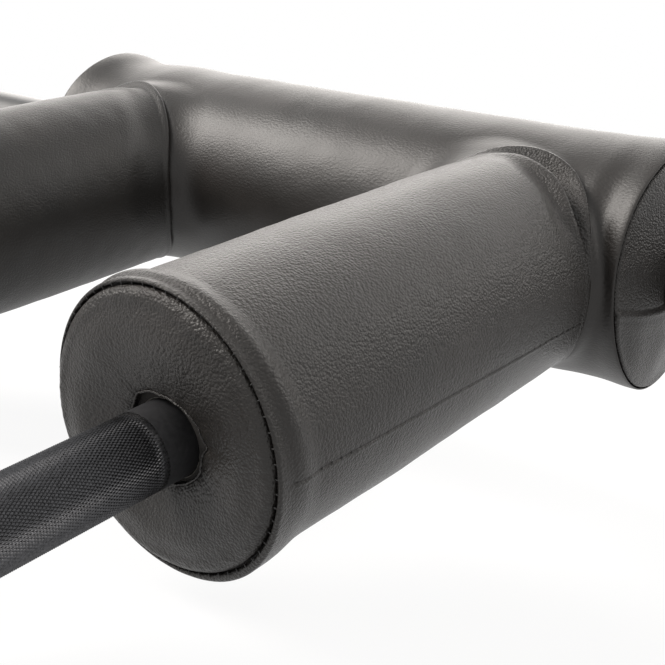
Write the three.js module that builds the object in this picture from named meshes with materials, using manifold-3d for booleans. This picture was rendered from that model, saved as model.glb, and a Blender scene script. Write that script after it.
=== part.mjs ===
// Safety squat bar. A steel shaft bends down and forward at each end and carries a turning sleeve
// for weight plates. Two arms run forward from the shaft and end as knurled handles. One padded
// roll covers the shaft behind the neck, and two cover the arms over the shoulders.
//
// Bar frame: X along the shaft, -Y forward, +Z up, origin on the shaft's axis at mid length.
// The lifter faces -Y, so +X is the lifter's left. At rest the bar stands on the two stop collars
// and the two handle ends, so the whole bar frame tilts forward about X. Lengths in millimetres.
import * as THREE from "three";
import { mergeVertices } from "three/addons/utils/BufferGeometryUtils.js";
import Module from "manifold-3d";

const wasm = await Module();
wasm.setup();

const degree = Math.PI / 180;
const fullTurn = 360 * degree;

// Fits and making
const seatGap = 0.3; // between pieces that sit face to face
const runningGap = 0.05; // radial, between a spindle and its bushings
const cutOverrun = 5; // how far a cutting tool reaches past what it cuts
const weldTolerance = 0.001; // vertices closer than this are one

// Shaft and camber: each end bends down, runs straight, and bends back level
const shaftRadius = 19;
const shaftStraightHalf = 605;
const camberLead = 12; // straight run at each end of the bent piece
const camberBendRadius = 50;
const camberLink = 49; // straight run between the two bends
const camberBendAngle = 65 * degree;
const camberForwardAngle = 20 * degree; // the drop leans this far forward of straight down
const camberBeadHalf = 4.5;
const camberBeadHeight = 2.4;

// Arms, which end as the handles
const armSpacingHalf = 129;
const armTubeRadius = 14;
const armTubeWall = 3;
const armTubeReach = 402; // from the shaft's axis to the tube's end
const armFilletLeg = 6.5;
const plugFlange = 3;
const plugChamfer = 1;
const plugDepth = 15;

// Neck roll: a row of circles along X, each with a radius and a drop below the shaft's axis
const neckRadius = 58.2;
const neckDrop = 6.8;
const neckArmRadius = 56.5;
const neckArmDrop = 4.5;
const neckArmSpread = 59; // from an arm's axis inward to the roll's plain middle
const neckWaistRadius = 54.2;
const neckWaistDrop = 2.2;
const neckWaistFromArm = 43;
const neckRimRadius = 59.5;
const neckRimDrop = 4;
const neckRimOvershoot = 6; // the flare's widest circle lies past the roll's end
const neckEndMargin = 9; // from the shoulder roll's side to the neck roll's end
const neckFoamRadius = 50;
const neckFoamDrop = 3.5;

// Stubs of the neck cover, which reach out to the shoulder rolls
const stubLength = 4.8; // past the neck roll, at the arm's sides
const seamTopReach = 40; // from the shaft's axis to the seam, at the arm's top and bottom
const stubFlare = 6;
const stubInset = 0.6;

// Shoulder rolls
const shoulderRadius = 52;
const shoulderCrown = 0.6;
const shoulderRollReach = 264.6; // from the shaft's axis to the roll's front
const shoulderFoamRadius = 46;
const shoulderFoamRoot = 20;
const seamTuck = 1.4;
const seamTuckLength = 6;
const rimRound = 1.6;
const rimRoundLength = 6;
const creaseDepth = 2.6;
const creaseFromSeam = 7;
const creaseHalfWidth = 5;
const creaseMiddle = 50 * degree;
const creaseHalfSpan = 62 * degree;

// End panels of the rolls
const panelThickness = 3;
const panelEdgeRound = 1.2;
const shoulderPanelCrown = 1.2;
const shoulderPanelPucker = 1.8;
const shoulderHoleGap = 2.1; // the panel's hole is this much wider than the handle, all round
const shoulderPuckerWidth = 7;
const neckPanelCrown = 3;
const neckPuckerWidth = 9;

// Sleeves and what holds them; places along them count outward from the shaft's shoulder
const spindleRadius = 14;
const spindleSocket = 14;
const spindleLength = 403;
const spindleTip = 5; // past the snap ring
const spindleGrooveDepth = 1.4;
const washerThickness = 2;
const thrustWasherRadius = 24;
const retainingWasherRadius = 16.6;
const bushingWall = 3.2;
const bushingLength = 40;
const sleeveRadius = 25;
const sleeveLength = 419;
const sleeveChamfer = 1.5;
const sleeveGrooveDepth = 1.1;
const collarRadius = 42;
const collarThickness = 20;
const collarChamfer = 2;
const ringThickness = 2;
const snapRingWidth = 3.4;
const clipWidth = 3.6;
const clipInset = 4; // from the sleeve's mouth to the clip
const ringOpeningHalf = 14 * degree;
const capRadius = 21;
const capThickness = 3;
const capDish = 1;

// Facets round a full turn, and steps along a run
const shaftFacets = 32;
const sleeveFacets = 40;
const padFacets = 32;
const smallFacets = 24;
const bendSteps = 16;
const ringSteps = 20;
const stubSpans = 3;
const shoulderSpans = 7;
const creaseSpans = 4;
const neckSpanCounts = [1, 4, 2, 3];

// Places that follow from the sizes
const camberBendLength = camberBendRadius * camberBendAngle;
const camberLength = 2 * (camberLead + camberBendLength) + camberLink;
const camberRun = 2 * camberLead
  + 2 * camberBendRadius * Math.sin(camberBendAngle) + camberLink * Math.cos(camberBendAngle);
const camberFall = 2 * camberBendRadius * (1 - Math.cos(camberBendAngle))
  + camberLink * Math.sin(camberBendAngle);
const camberStart = shaftStraightHalf + seatGap;
const shaftShoulder = camberStart + camberRun;
const sleeveAxisForward = camberFall * Math.sin(camberForwardAngle);
const sleeveAxisBelow = camberFall * Math.cos(camberForwardAngle);
const armTubeBore = armTubeRadius - armTubeWall;
const plugStart = armTubeReach + seatGap;
const handleEndReach = plugStart + plugFlange;
const neckRollHalf = armSpacingHalf + shoulderRadius + neckEndMargin;
const seamSideReach = neckRadius + stubLength;
const shoulderCoverEnd = shoulderRollReach - panelThickness - seatGap;
const neckCoverHalf = neckRollHalf - panelThickness - seatGap;
const shoulderHoleRadius = armTubeRadius + shoulderHoleGap;
const sleeveStart = washerThickness + 2 * seatGap;
const sleeveEnd = sleeveStart + sleeveLength;
const bushingRadius = spindleRadius + bushingWall;
const sleeveBore = bushingRadius + seatGap;
const mouthRadius = capRadius + seatGap;
const clipPlace = sleeveEnd - clipInset - ringThickness;
const capPlace = clipPlace - seatGap - capThickness;
const snapRingPlace = spindleLength - spindleTip - ringThickness;
const retainingWasherPlace = snapRingPlace - seatGap - washerThickness;
const outerBushingPlace = retainingWasherPlace - seatGap - bushingLength;

// Materials
const leatherette = new THREE.MeshStandardMaterial({ color: 0x2b2a29, roughness: 0.48, metalness: 0 });
const foam = new THREE.MeshStandardMaterial({ color: 0x8f8c86, roughness: 0.95, metalness: 0 });
const coatedSteel = new THREE.MeshStandardMaterial({ color: 0x1b1b1c, roughness: 0.42, metalness: 0.3 });
const knurledSteel = new THREE.MeshStandardMaterial({ color: 0x232324, roughness: 0.4, metalness: 0.6 });
const weldSteel = new THREE.MeshStandardMaterial({ color: 0x3a3a3b, roughness: 0.6, metalness: 0.8 });
const chromedSteel = new THREE.MeshStandardMaterial({ color: 0xd5d7d9, roughness: 0.18, metalness: 1 });
const groundSteel = new THREE.MeshStandardMaterial({ color: 0xa9abad, roughness: 0.3, metalness: 1 });
const springSteel = new THREE.MeshStandardMaterial({ color: 0x2f2f31, roughness: 0.35, metalness: 0.9 });
const bronze = new THREE.MeshStandardMaterial({ color: 0xa37b3f, roughness: 0.4, metalness: 1 });
const blackPlastic = new THREE.MeshStandardMaterial({ color: 0x161616, roughness: 0.55, metalness: 0 });

// From 1 at the edge to 0 at one length in from it
function edgeShare(distance, length) {
  return distance < length ? (1 - distance / length) ** 2 : 0;
}

// From 0 to 1 and back to 0 across two half widths
function humpShare(offset, halfWidth) {
  return Math.abs(offset) < halfWidth ? (1 + Math.cos(Math.PI * offset / halfWidth)) / 2 : 0;
}

// Solids from geometries, for joining and cutting
function toSolid(geometry) {
  geometry.deleteAttribute("normal");
  geometry.deleteAttribute("uv");
  const merged = mergeVertices(geometry, weldTolerance);
  return new wasm.Manifold(
    new wasm.Mesh({
      numProp: 3,
      vertProperties: merged.attributes.position.array,
      triVerts: new Uint32Array(merged.index.array),
    }),
  );
}

function toGeometry(solid) {
  const mesh = solid.getMesh();
  const geometry = new THREE.BufferGeometry();
  geometry.setAttribute("position", new THREE.BufferAttribute(mesh.vertProperties, 3));
  geometry.setIndex(new THREE.BufferAttribute(mesh.triVerts, 1));
  geometry.computeVertexNormals();
  return geometry;
}

function cut(geometry, ...tools) {
  return toGeometry(tools.reduce((solid, tool) => solid.subtract(toSolid(tool)), toSolid(geometry)));
}

// A closed profile of [place, radius] corners turned about +X. The corners run out along the
// profile's start, along its outside and back in at its end. A facet corner lies at the top and
// the bottom, or a facet's flat when the phase is half a facet.
function turned(corners, facets, phase = 0) {
  const points = corners.map(([place, radius]) => new THREE.Vector2(radius, place));
  return new THREE.LatheGeometry(points, facets, phase, fullTurn).rotateZ(-90 * degree);
}

// A round bar along +X from one place to another
function roundBar(from, to, radius, facets, phase = 0) {
  return turned([[from, 0], [from, radius], [to, radius], [to, 0]], facets, phase);
}

// A ring along +X with a square section
function roundRing(from, to, inner, outer, facets, phase = 0) {
  const corners = [[from, inner], [from, outer], [to, outer], [to, inner], [from, inner]];
  return turned(corners, facets, phase);
}

// The same shapes along -Y, for the arms
function alongArm(geometry) {
  return geometry.rotateZ(-90 * degree);
}

// A closed skin through rings of points, each end closed by a fan from its middle point
function loft(rings, firstMiddle, lastMiddle) {
  const count = rings[0].length;
  const points = [...rings.flat(), firstMiddle, lastMiddle];
  const first = points.length - 2;
  const last = points.length - 1;
  const faces = [];
  rings.slice(1).forEach((ring, index) => {
    const near = index * count;
    const far = near + count;
    for (let side = 0; side < count; side += 1) {
      const next = (side + 1) % count;
      faces.push(near + side, far + next, far + side);
      faces.push(near + side, near + next, far + next);
    }
  });
  const lastRing = (rings.length - 1) * count;
  for (let side = 0; side < count; side += 1) {
    const next = (side + 1) % count;
    faces.push(first, next, side);
    faces.push(last, lastRing + side, lastRing + next);
  }
  const geometry = new THREE.BufferGeometry().setFromPoints(points);
  geometry.setIndex(faces);
  geometry.computeVertexNormals();
  return geometry;
}

// Neck roll: radius and drop ease from one named circle to the next
const neckCircles = [
  { out: 0, radius: neckRadius, drop: neckDrop },
  { out: armSpacingHalf - neckArmSpread, radius: neckRadius, drop: neckDrop },
  { out: armSpacingHalf, radius: neckArmRadius, drop: neckArmDrop },
  { out: armSpacingHalf + neckWaistFromArm, radius: neckWaistRadius, drop: neckWaistDrop },
  { out: neckRollHalf + neckRimOvershoot, radius: neckRimRadius, drop: neckRimDrop },
];

function neckCircleAt(out) {
  const end = neckCircles.findIndex((circle) => circle.out >= out);
  const after = neckCircles[Math.max(end, 1)];
  const before = neckCircles[Math.max(end, 1) - 1];
  const share = THREE.MathUtils.smoothstep(out, before.out, after.out);
  return {
    radius: THREE.MathUtils.lerp(before.radius, after.radius, share),
    drop: THREE.MathUtils.lerp(before.drop, after.drop, share),
  };
}

function neckStations() {
  const half = [];
  neckSpanCounts.forEach((spans, index) => {
    const from = neckCircles[index].out;
    const to = Math.min(neckCircles[index + 1].out, neckCoverHalf);
    for (let step = 1; step <= spans; step += 1) {
      half.push(THREE.MathUtils.lerp(from, to, step / spans));
    }
  });
  return [...half.map((out) => -out).reverse(), 0, ...half];
}

function neckForm(clearance) {
  const stations = neckStations();
  const rings = stations.map((x) => {
    const { radius, drop } = neckCircleAt(Math.abs(x));
    return Array.from({ length: padFacets }, (_, index) => {
      const angle = index / padFacets * fullTurn;
      const reach = radius + clearance;
      return new THREE.Vector3(x, reach * Math.cos(angle), reach * Math.sin(angle) - drop);
    });
  });
  const { drop } = neckCircleAt(neckCoverHalf);
  return loft(
    rings,
    new THREE.Vector3(-neckCoverHalf, 0, -drop),
    new THREE.Vector3(neckCoverHalf, 0, -drop),
  );
}

// The seam between neck cover and shoulder cover, as its reach forward at an angle round the arm
function seamReach(angle) {
  return THREE.MathUtils.lerp(seamTopReach, seamSideReach, Math.cos(angle) ** 2);
}

const seamMiddleReach = (seamTopReach + seamSideReach) / 2;

// One ring round an arm: reachAt and radiusAt give the place and radius at each angle
function armRing(reachAt, radiusAt) {
  return Array.from({ length: padFacets }, (_, index) => {
    const angle = index / padFacets * fullTurn;
    const radius = radiusAt(angle);
    return new THREE.Vector3(radius * Math.cos(angle), -reachAt(angle), radius * Math.sin(angle));
  });
}

function armMiddle(reach) {
  return new THREE.Vector3(0, -reach, 0);
}

// The stub grows out of the neck roll, flared at its sides, and ends at the seam
function stubForm() {
  const rings = [];
  for (let step = 0; step <= stubSpans; step += 1) {
    const share = step / stubSpans;
    const flare = stubFlare * (1 - share) ** 2;
    rings.push(
      armRing(
        (angle) => seamReach(angle) * share,
        (angle) => shoulderRadius - stubInset + flare * Math.cos(angle) ** 2,
      ),
    );
  }
  return loft(rings, armMiddle(0), armMiddle(seamMiddleReach));
}

// Shoulder roll: crowned along its length, tucked in at the seam and at the rim, with one crease
// round its outer shoulder where the leatherette folds into the seam
function shoulderRadiusAt(angle, fromSeam, toRim) {
  const crown = shoulderCrown * Math.sin(Math.PI * fromSeam / (fromSeam + toRim));
  const tucks = seamTuck * edgeShare(fromSeam, seamTuckLength) + rimRound * edgeShare(toRim, rimRoundLength);
  const crease = creaseDepth
    * humpShare(angle - creaseMiddle, creaseHalfSpan)
    * humpShare(fromSeam - creaseFromSeam, creaseHalfWidth);
  return shoulderRadius + crown - tucks - crease;
}

function shoulderForm() {
  const nearSeam = [0, creaseFromSeam - creaseHalfWidth];
  for (let step = 1; step <= creaseSpans; step += 1) {
    nearSeam.push(creaseFromSeam + creaseHalfWidth * (2 * step / creaseSpans - 1));
  }
  const nearRim = [rimRoundLength, rimRoundLength / 2, rimRoundLength / 4, 0];
  const bodyStart = creaseFromSeam + creaseHalfWidth;
  const start = (angle) => seamReach(angle) + seatGap;
  const reaches = nearSeam.map((distance) => (angle) => start(angle) + distance);
  for (let step = 1; step < shoulderSpans; step += 1) {
    const share = step / shoulderSpans;
    reaches.push((angle) =>
      THREE.MathUtils.lerp(start(angle) + bodyStart, shoulderCoverEnd - rimRoundLength, share));
  }
  nearRim.forEach((distance) => reaches.push(() => shoulderCoverEnd - distance));
  const rings = reaches.map((reachAt) =>
    armRing(reachAt, (angle) =>
      shoulderRadiusAt(angle, reachAt(angle) - start(angle), shoulderCoverEnd - reachAt(angle))));
  return loft(rings, armMiddle(seamMiddleReach + seatGap), armMiddle(shoulderCoverEnd));
}

// Cutting tools and foam cylinders, shared by the pieces that fit round them
function shaftTool() {
  const reach = neckRollHalf + cutOverrun;
  return roundBar(-reach, reach, shaftRadius + seatGap, shaftFacets);
}

function neckFoamBar(half, radius) {
  return roundBar(-half, half, radius, padFacets).translate(0, 0, -neckFoamDrop);
}

function armBar(from, to, radius, facets) {
  return alongArm(roundBar(from, to, radius, facets));
}

// Neck pieces, across both sides
function neckCover() {
  const sides = [-armSpacingHalf, armSpacingHalf];
  const outside = sides.reduce(
    (solid, x) => solid.add(toSolid(stubForm().translate(x, 0, 0))),
    toSolid(neckForm(0)),
  );
  const bore = toSolid(neckFoamBar(neckRollHalf, neckFoamRadius + seatGap));
  const hollow = sides.reduce((solid, x) => {
    const from = shoulderFoamRoot - seatGap;
    const to = seamSideReach + cutOverrun;
    const armBore = armBar(from, to, shoulderFoamRadius + seatGap, padFacets).translate(x, 0, 0);
    return solid.add(toSolid(armBore));
  }, bore);
  return toGeometry(outside.subtract(hollow));
}

function neckFoam() {
  const tools = [shaftTool()];
  [-armSpacingHalf, armSpacingHalf].forEach((x) => {
    const reach = neckFoamRadius + cutOverrun;
    tools.push(armBar(0, reach, armTubeRadius + seatGap, smallFacets).translate(x, 0, 0));
    const fillet = shaftRadius + armFilletLeg + 2 * seatGap;
    const filletRadius = armTubeRadius + armFilletLeg + 2 * seatGap;
    tools.push(armBar(0, fillet, filletRadius, smallFacets).translate(x, 0, 0));
  });
  return cut(neckFoamBar(neckCoverHalf, neckFoamRadius), ...tools);
}

function neckEndPanel() {
  const { radius, drop } = neckCircleAt(neckCoverHalf);
  const front = neckRollHalf;
  const back = neckRollHalf - panelThickness;
  const holeRadius = shaftRadius + seatGap;
  const panel = turned(
    [
      [back, 0],
      [back, radius],
      [front - panelEdgeRound, radius],
      [front, radius - panelEdgeRound],
      [front + neckPanelCrown, (radius + holeRadius) / 2],
      [front + neckPanelCrown / 2, holeRadius + neckPuckerWidth],
      [front, 0],
    ],
    padFacets,
  );
  const hole = roundBar(0, front + cutOverrun, holeRadius, shaftFacets);
  return cut(panel.translate(0, 0, -drop), hole);
}

// Shoulder pieces, about the arm's own axis
function shoulderCover() {
  return cut(
    shoulderForm(),
    armBar(0, shoulderRollReach, shoulderFoamRadius + seatGap, padFacets),
    neckForm(seatGap).translate(-armSpacingHalf, 0, 0),
  );
}

function shoulderFoam() {
  return cut(
    armBar(shoulderFoamRoot, shoulderCoverEnd, shoulderFoamRadius, padFacets),
    armBar(0, shoulderRollReach, armTubeRadius + seatGap, smallFacets),
    neckFoamBar(neckRollHalf, neckFoamRadius + seatGap),
  );
}

function shoulderEndPanel() {
  const rim = shoulderRadius - rimRound;
  const front = shoulderRollReach;
  const back = front - panelThickness;
  const pucker = shoulderHoleRadius + shoulderPuckerWidth;
  const corners = [
    [back, shoulderHoleRadius],
    [back, rim],
    [front - panelEdgeRound, rim],
    [front, rim - panelEdgeRound],
    [front + shoulderPanelCrown, (pucker + rim) / 2],
    [front, pucker],
    [front - shoulderPanelPucker, shoulderHoleRadius],
    [back, shoulderHoleRadius],
  ];
  return alongArm(turned(corners, padFacets));
}

// Steel of one side
class CamberCurve extends THREE.Curve {
  // Straight lead, bend down, straight link, bend back level, straight lead
  getPoint(share, target = new THREE.Vector3()) {
    let left = share * camberLength;
    let slope = 0;
    const bends = [0, camberBendAngle, 0, -camberBendAngle, 0];
    const lengths = [camberLead, camberBendLength, camberLink, camberBendLength, camberLead];
    target.set(0, 0, 0);
    lengths.forEach((length, index) => {
      const used = Math.min(left, length);
      const turn = bends[index] * used / length;
      const chord = turn === 0 ? used : 2 * camberBendRadius * Math.sin(Math.abs(turn) / 2);
      const heading = slope + turn / 2;
      target.x += chord * Math.cos(heading);
      target.z -= chord * Math.sin(heading);
      slope += turn;
      left -= used;
    });
    return target;
  }
}

function camberBend() {
  const outline = Array.from({ length: shaftFacets }, (_, index) => {
    const angle = index / shaftFacets * fullTurn;
    return new THREE.Vector2(shaftRadius * Math.cos(angle), shaftRadius * Math.sin(angle));
  });
  const bend = new THREE.ExtrudeGeometry(new THREE.Shape(outline), {
    steps: bendSteps,
    bevelEnabled: false,
    extrudePath: new CamberCurve(),
  });
  bend.rotateX(-camberForwardAngle);
  bend.translate(camberStart, 0, 0);
  const socketStart = shaftShoulder - spindleSocket - seatGap;
  const socketRadius = spindleRadius + seatGap;
  const socket = roundBar(socketStart, shaftShoulder + cutOverrun, socketRadius, sleeveFacets);
  return cut(bend, socket.translate(0, -sleeveAxisForward, -sleeveAxisBelow));
}

function camberBead() {
  const inner = shaftRadius + seatGap;
  const shoulder = inner + camberBeadHeight / 2;
  const corners = [
    [-camberBeadHalf, inner],
    [-camberBeadHalf / 2, shoulder],
    [0, inner + camberBeadHeight],
    [camberBeadHalf / 2, shoulder],
    [camberBeadHalf, inner],
    [-camberBeadHalf, inner],
  ];
  return turned(corners, shaftFacets).translate(shaftStraightHalf + seatGap / 2, 0, 0);
}

function armTube() {
  const corners = [
    [0, armTubeBore],
    [0, armTubeRadius],
    [armTubeReach, armTubeRadius],
    [armTubeReach, armTubeBore],
    [0, armTubeBore],
  ];
  return cut(alongArm(turned(corners, smallFacets)), shaftTool());
}

function armWeld() {
  const inner = armTubeRadius + seatGap;
  const corners = [
    [shaftRadius - armFilletLeg, inner],
    [shaftRadius - armFilletLeg, inner + armFilletLeg],
    [shaftRadius + armFilletLeg, inner],
    [shaftRadius - armFilletLeg, inner],
  ];
  return cut(alongArm(turned(corners, smallFacets)), shaftTool());
}

function handleEndPlug() {
  const stem = armTubeBore - seatGap;
  const corners = [
    [armTubeReach - plugDepth, 0],
    [armTubeReach - plugDepth, stem],
    [plugStart, stem],
    [plugStart, armTubeRadius],
    [handleEndReach - plugChamfer, armTubeRadius],
    [handleEndReach, armTubeRadius - plugChamfer],
    [handleEndReach, 0],
  ];
  return alongArm(turned(corners, smallFacets));
}

function spindle() {
  const grooveRadius = spindleRadius - spindleGrooveDepth;
  const grooveStart = snapRingPlace - seatGap / 2;
  const grooveEnd = snapRingPlace + ringThickness + seatGap / 2;
  const corners = [
    [-spindleSocket, 0],
    [-spindleSocket, spindleRadius],
    [grooveStart, spindleRadius],
    [grooveStart, grooveRadius],
    [grooveEnd, grooveRadius],
    [grooveEnd, spindleRadius],
    [spindleLength, spindleRadius],
    [spindleLength, 0],
  ];
  return turned(corners, smallFacets);
}

// Sleeve parts of one side, about the sleeve's own axis, with a flat facet at the bottom
const sleevePhase = fullTurn / sleeveFacets / 2;

function sleeveTube() {
  const grooveRadius = mouthRadius + sleeveGrooveDepth;
  const grooveStart = clipPlace - seatGap / 2;
  const grooveEnd = clipPlace + ringThickness + seatGap / 2;
  const mouthStart = capPlace - seatGap;
  const corners = [
    [sleeveStart, sleeveBore],
    [sleeveStart, sleeveRadius],
    [sleeveEnd - sleeveChamfer, sleeveRadius],
    [sleeveEnd, sleeveRadius - sleeveChamfer],
    [sleeveEnd, mouthRadius],
    [grooveEnd, mouthRadius],
    [grooveEnd, grooveRadius],
    [grooveStart, grooveRadius],
    [grooveStart, mouthRadius],
    [mouthStart, mouthRadius],
    [mouthStart, sleeveBore],
    [sleeveStart, sleeveBore],
  ];
  return turned(corners, sleeveFacets, sleevePhase);
}

function stopCollar() {
  const inner = sleeveRadius + seatGap;
  const end = sleeveStart + collarThickness;
  const corners = [
    [sleeveStart, inner],
    [sleeveStart, collarRadius - collarChamfer],
    [sleeveStart + collarChamfer, collarRadius],
    [end - collarChamfer, collarRadius],
    [end, collarRadius - collarChamfer],
    [end, inner],
    [sleeveStart, inner],
  ];
  return turned(corners, sleeveFacets, sleevePhase);
}

function bushing(place) {
  const bore = (spindleRadius + runningGap) / Math.cos(fullTurn / smallFacets / 2);
  return roundRing(place, place + bushingLength, bore, bushingRadius, smallFacets);
}

function endCap() {
  const corners = [
    [capPlace, 0],
    [capPlace, capRadius],
    [capPlace + capThickness, capRadius],
    [capPlace + capThickness, capRadius - clipWidth - capDish],
    [capPlace + capThickness - capDish, capRadius - clipWidth - 2 * capDish],
    [capPlace + capThickness - capDish, 0],
  ];
  return turned(corners, sleeveFacets, sleevePhase);
}

// A flat ring, open over a small angle at its bottom, as a snap ring or a clip is
function openRing(place, inner, outer) {
  const arc = (radius, from, to) =>
    Array.from({ length: ringSteps + 1 }, (_, index) => {
      const angle = THREE.MathUtils.lerp(from, to, index / ringSteps);
      return new THREE.Vector2(radius * Math.cos(angle), radius * Math.sin(angle));
    });
  const last = fullTurn - ringOpeningHalf;
  const outline = [...arc(outer, ringOpeningHalf, last), ...arc(inner, last, ringOpeningHalf)];
  const ring = new THREE.ExtrudeGeometry(new THREE.Shape(outline), {
    depth: ringThickness,
    bevelEnabled: false,
  });
  return ring.rotateY(90 * degree).translate(place, 0, 0);
}

// The assembly
function piece(group, name, geometry, material) {
  const mesh = new THREE.Mesh(geometry, material);
  mesh.name = name;
  group.add(mesh);
  return mesh;
}

// How far the bar frame tilts so that the stop collars and the handle ends stand on one level
function restTilt() {
  const collarBottom = collarRadius * Math.cos(fullTurn / sleeveFacets / 2);
  const forward = handleEndReach - plugChamfer - sleeveAxisForward;
  const below = armTubeRadius - sleeveAxisBelow;
  return Math.asin(collarBottom / Math.hypot(forward, below)) - Math.atan2(below, forward);
}

const tilt = restTilt();

function sideParts(side) {
  const group = new THREE.Group();
  piece(group, side + "_camber_bend", camberBend(), coatedSteel);
  piece(group, side + "_camber_weld", camberBead(), coatedSteel);

  const arm = new THREE.Group();
  arm.position.x = armSpacingHalf;
  piece(arm, side + "_arm_tube", armTube(), knurledSteel);
  piece(arm, side + "_arm_weld", armWeld(), weldSteel);
  piece(arm, side + "_handle_end_plug", handleEndPlug(), blackPlastic);
  piece(arm, side + "_shoulder_foam", shoulderFoam(), foam);
  piece(arm, side + "_shoulder_cover", shoulderCover(), leatherette);
  piece(arm, side + "_shoulder_end_panel", shoulderEndPanel(), leatherette);
  piece(group, side + "_neck_end_panel", neckEndPanel(), leatherette);
  group.add(arm);

  const sleeve = new THREE.Group();
  sleeve.position.set(shaftShoulder, -sleeveAxisForward, -sleeveAxisBelow);
  sleeve.rotation.x = -tilt;
  const thrustWasher = roundRing(
    seatGap, seatGap + washerThickness, spindleRadius + seatGap, thrustWasherRadius, smallFacets,
  );
  const retainingWasher = roundRing(
    retainingWasherPlace, retainingWasherPlace + washerThickness,
    spindleRadius + seatGap, retainingWasherRadius, smallFacets,
  );
  const snapRingInner = spindleRadius - spindleGrooveDepth + seatGap;
  const snapRing = openRing(snapRingPlace, snapRingInner, snapRingInner + snapRingWidth);
  const clipOuter = mouthRadius + sleeveGrooveDepth - seatGap;
  const clip = openRing(clipPlace, clipOuter - clipWidth, clipOuter);
  piece(sleeve, side + "_spindle", spindle(), groundSteel);
  piece(sleeve, side + "_thrust_washer", thrustWasher, groundSteel);
  piece(sleeve, side + "_retaining_washer", retainingWasher, groundSteel);
  piece(sleeve, side + "_snap_ring", snapRing, springSteel);
  piece(sleeve, side + "_sleeve_tube", sleeveTube(), chromedSteel);
  piece(sleeve, side + "_stop_collar", stopCollar(), chromedSteel);
  piece(sleeve, side + "_inner_bushing", bushing(sleeveStart), bronze);
  piece(sleeve, side + "_outer_bushing", bushing(outerBushingPlace), bronze);
  piece(sleeve, side + "_end_cap", endCap(), chromedSteel);
  piece(sleeve, side + "_end_clip", clip, springSteel);
  group.add(sleeve);
  return group;
}

const bar = new THREE.Group();
bar.rotation.x = tilt;
const shaft = roundBar(-shaftStraightHalf, shaftStraightHalf, shaftRadius, shaftFacets);
piece(bar, "center_shaft", shaft, coatedSteel);
piece(bar, "neck_foam", neckFoam(), foam);
piece(bar, "neck_cover", neckCover(), leatherette);
const left = sideParts("left");
const right = sideParts("right");
right.scale.x = -1;
bar.add(left, right);

// The part's origin is the middle of its box's bottom
const squatBar = new THREE.Group();
squatBar.add(bar);
squatBar.updateMatrixWorld(true);
const box = new THREE.Box3().setFromObject(squatBar, true);
bar.position.y = -(box.min.y + box.max.y) / 2;
bar.position.z = -box.min.z;

export default squatBar;
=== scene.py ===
import math

import bpy
import numpy as np
from mathutils import Matrix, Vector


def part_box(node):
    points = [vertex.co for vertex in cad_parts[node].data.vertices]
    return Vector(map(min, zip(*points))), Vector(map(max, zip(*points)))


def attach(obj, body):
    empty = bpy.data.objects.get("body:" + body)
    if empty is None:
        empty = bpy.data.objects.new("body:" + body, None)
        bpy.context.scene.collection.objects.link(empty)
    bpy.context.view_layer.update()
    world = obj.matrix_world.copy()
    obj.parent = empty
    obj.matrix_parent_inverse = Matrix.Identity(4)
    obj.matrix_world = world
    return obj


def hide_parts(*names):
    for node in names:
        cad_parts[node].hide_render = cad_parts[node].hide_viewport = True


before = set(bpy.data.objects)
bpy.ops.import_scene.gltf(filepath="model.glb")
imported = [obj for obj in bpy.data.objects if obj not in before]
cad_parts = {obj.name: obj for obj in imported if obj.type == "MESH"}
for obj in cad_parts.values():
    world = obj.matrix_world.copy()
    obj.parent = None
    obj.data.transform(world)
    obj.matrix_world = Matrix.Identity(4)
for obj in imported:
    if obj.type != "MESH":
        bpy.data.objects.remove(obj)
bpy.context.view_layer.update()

MM = 0.001
TAU = 2 * math.pi

# Where the frame has the shaft and the sleeves
CAMBER_FORWARD = math.radians(20)  # the sleeve's axis hangs this far forward of straight down


def node_middle(node):
    """Middle of a CAD node's box, in metres in the row frame."""
    low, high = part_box(node)
    return (np.array(low) + np.array(high)) / 2


SHAFT_AXIS = node_middle("center_shaft") * (0, 1, 1)
SLEEVE_AXIS = node_middle("left_sleeve_tube") * (0, 1, 1)
FALL = SLEEVE_AXIS - SHAFT_AXIS
UNTILTED = math.atan2(-math.cos(CAMBER_FORWARD), -math.sin(CAMBER_FORWARD))
TILT = math.atan2(FALL[2], FALL[1]) - UNTILTED
TURN = np.array(Matrix.Rotation(TILT, 3, "X"))

# Steel sizes
SHAFT_RADIUS = 19.0
SHAFT_HALF = 605.0
CAMBER_START = 605.3
CAMBER_LEAD = 12.0
CAMBER_BEND_RADIUS = 50.0
CAMBER_LINK = 49.0
CAMBER_BEND_ANGLE = math.radians(65)
BEAD_HALF = 4.5
BEAD_HEIGHT = 2.4
BEAD_RIPPLE = 2.6
ARM_PLACE = node_middle("left_arm_tube")[0] / MM
ARM_RADIUS = 14.0
ARM_BORE = 11.0
ARM_END = 402.0
PLUG_END = 405.3
KNURL_START = 273.9

# Roll sizes
ROLL_RADIUS = 52.0
ROLL_END = 264.6
STUB_RADIUS = 51.6
NECK_END = 190.0
FOAM_BORE = 46.6
NECK_BORE = 50.6
NECK_BORE_DROP = 3.5


def place(points):
    """Bar frame in millimetres to row frame in metres: turned about X by the tilt, then moved."""
    return points @ TURN.T * MM + SHAFT_AXIS


def smooth(share):
    """0 below 0, 1 above 1, and an S curve between."""
    share = np.clip(share, 0, 1)
    return share * share * (3 - 2 * share)


def hump(offset, half_width):
    """1 in the middle, 0 past the half width, with a cosine between."""
    return np.where(np.abs(offset) < half_width, (1 + np.cos(np.pi * offset / half_width)) / 2, 0)


def bell(offset, width):
    """1 in the middle, with a Gaussian fall to both sides."""
    return np.exp(-(offset / width) ** 2)


def fade(offset, length):
    """1 in the middle, with an exponential fall to both sides."""
    return np.exp(-np.abs(offset) / length)


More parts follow.
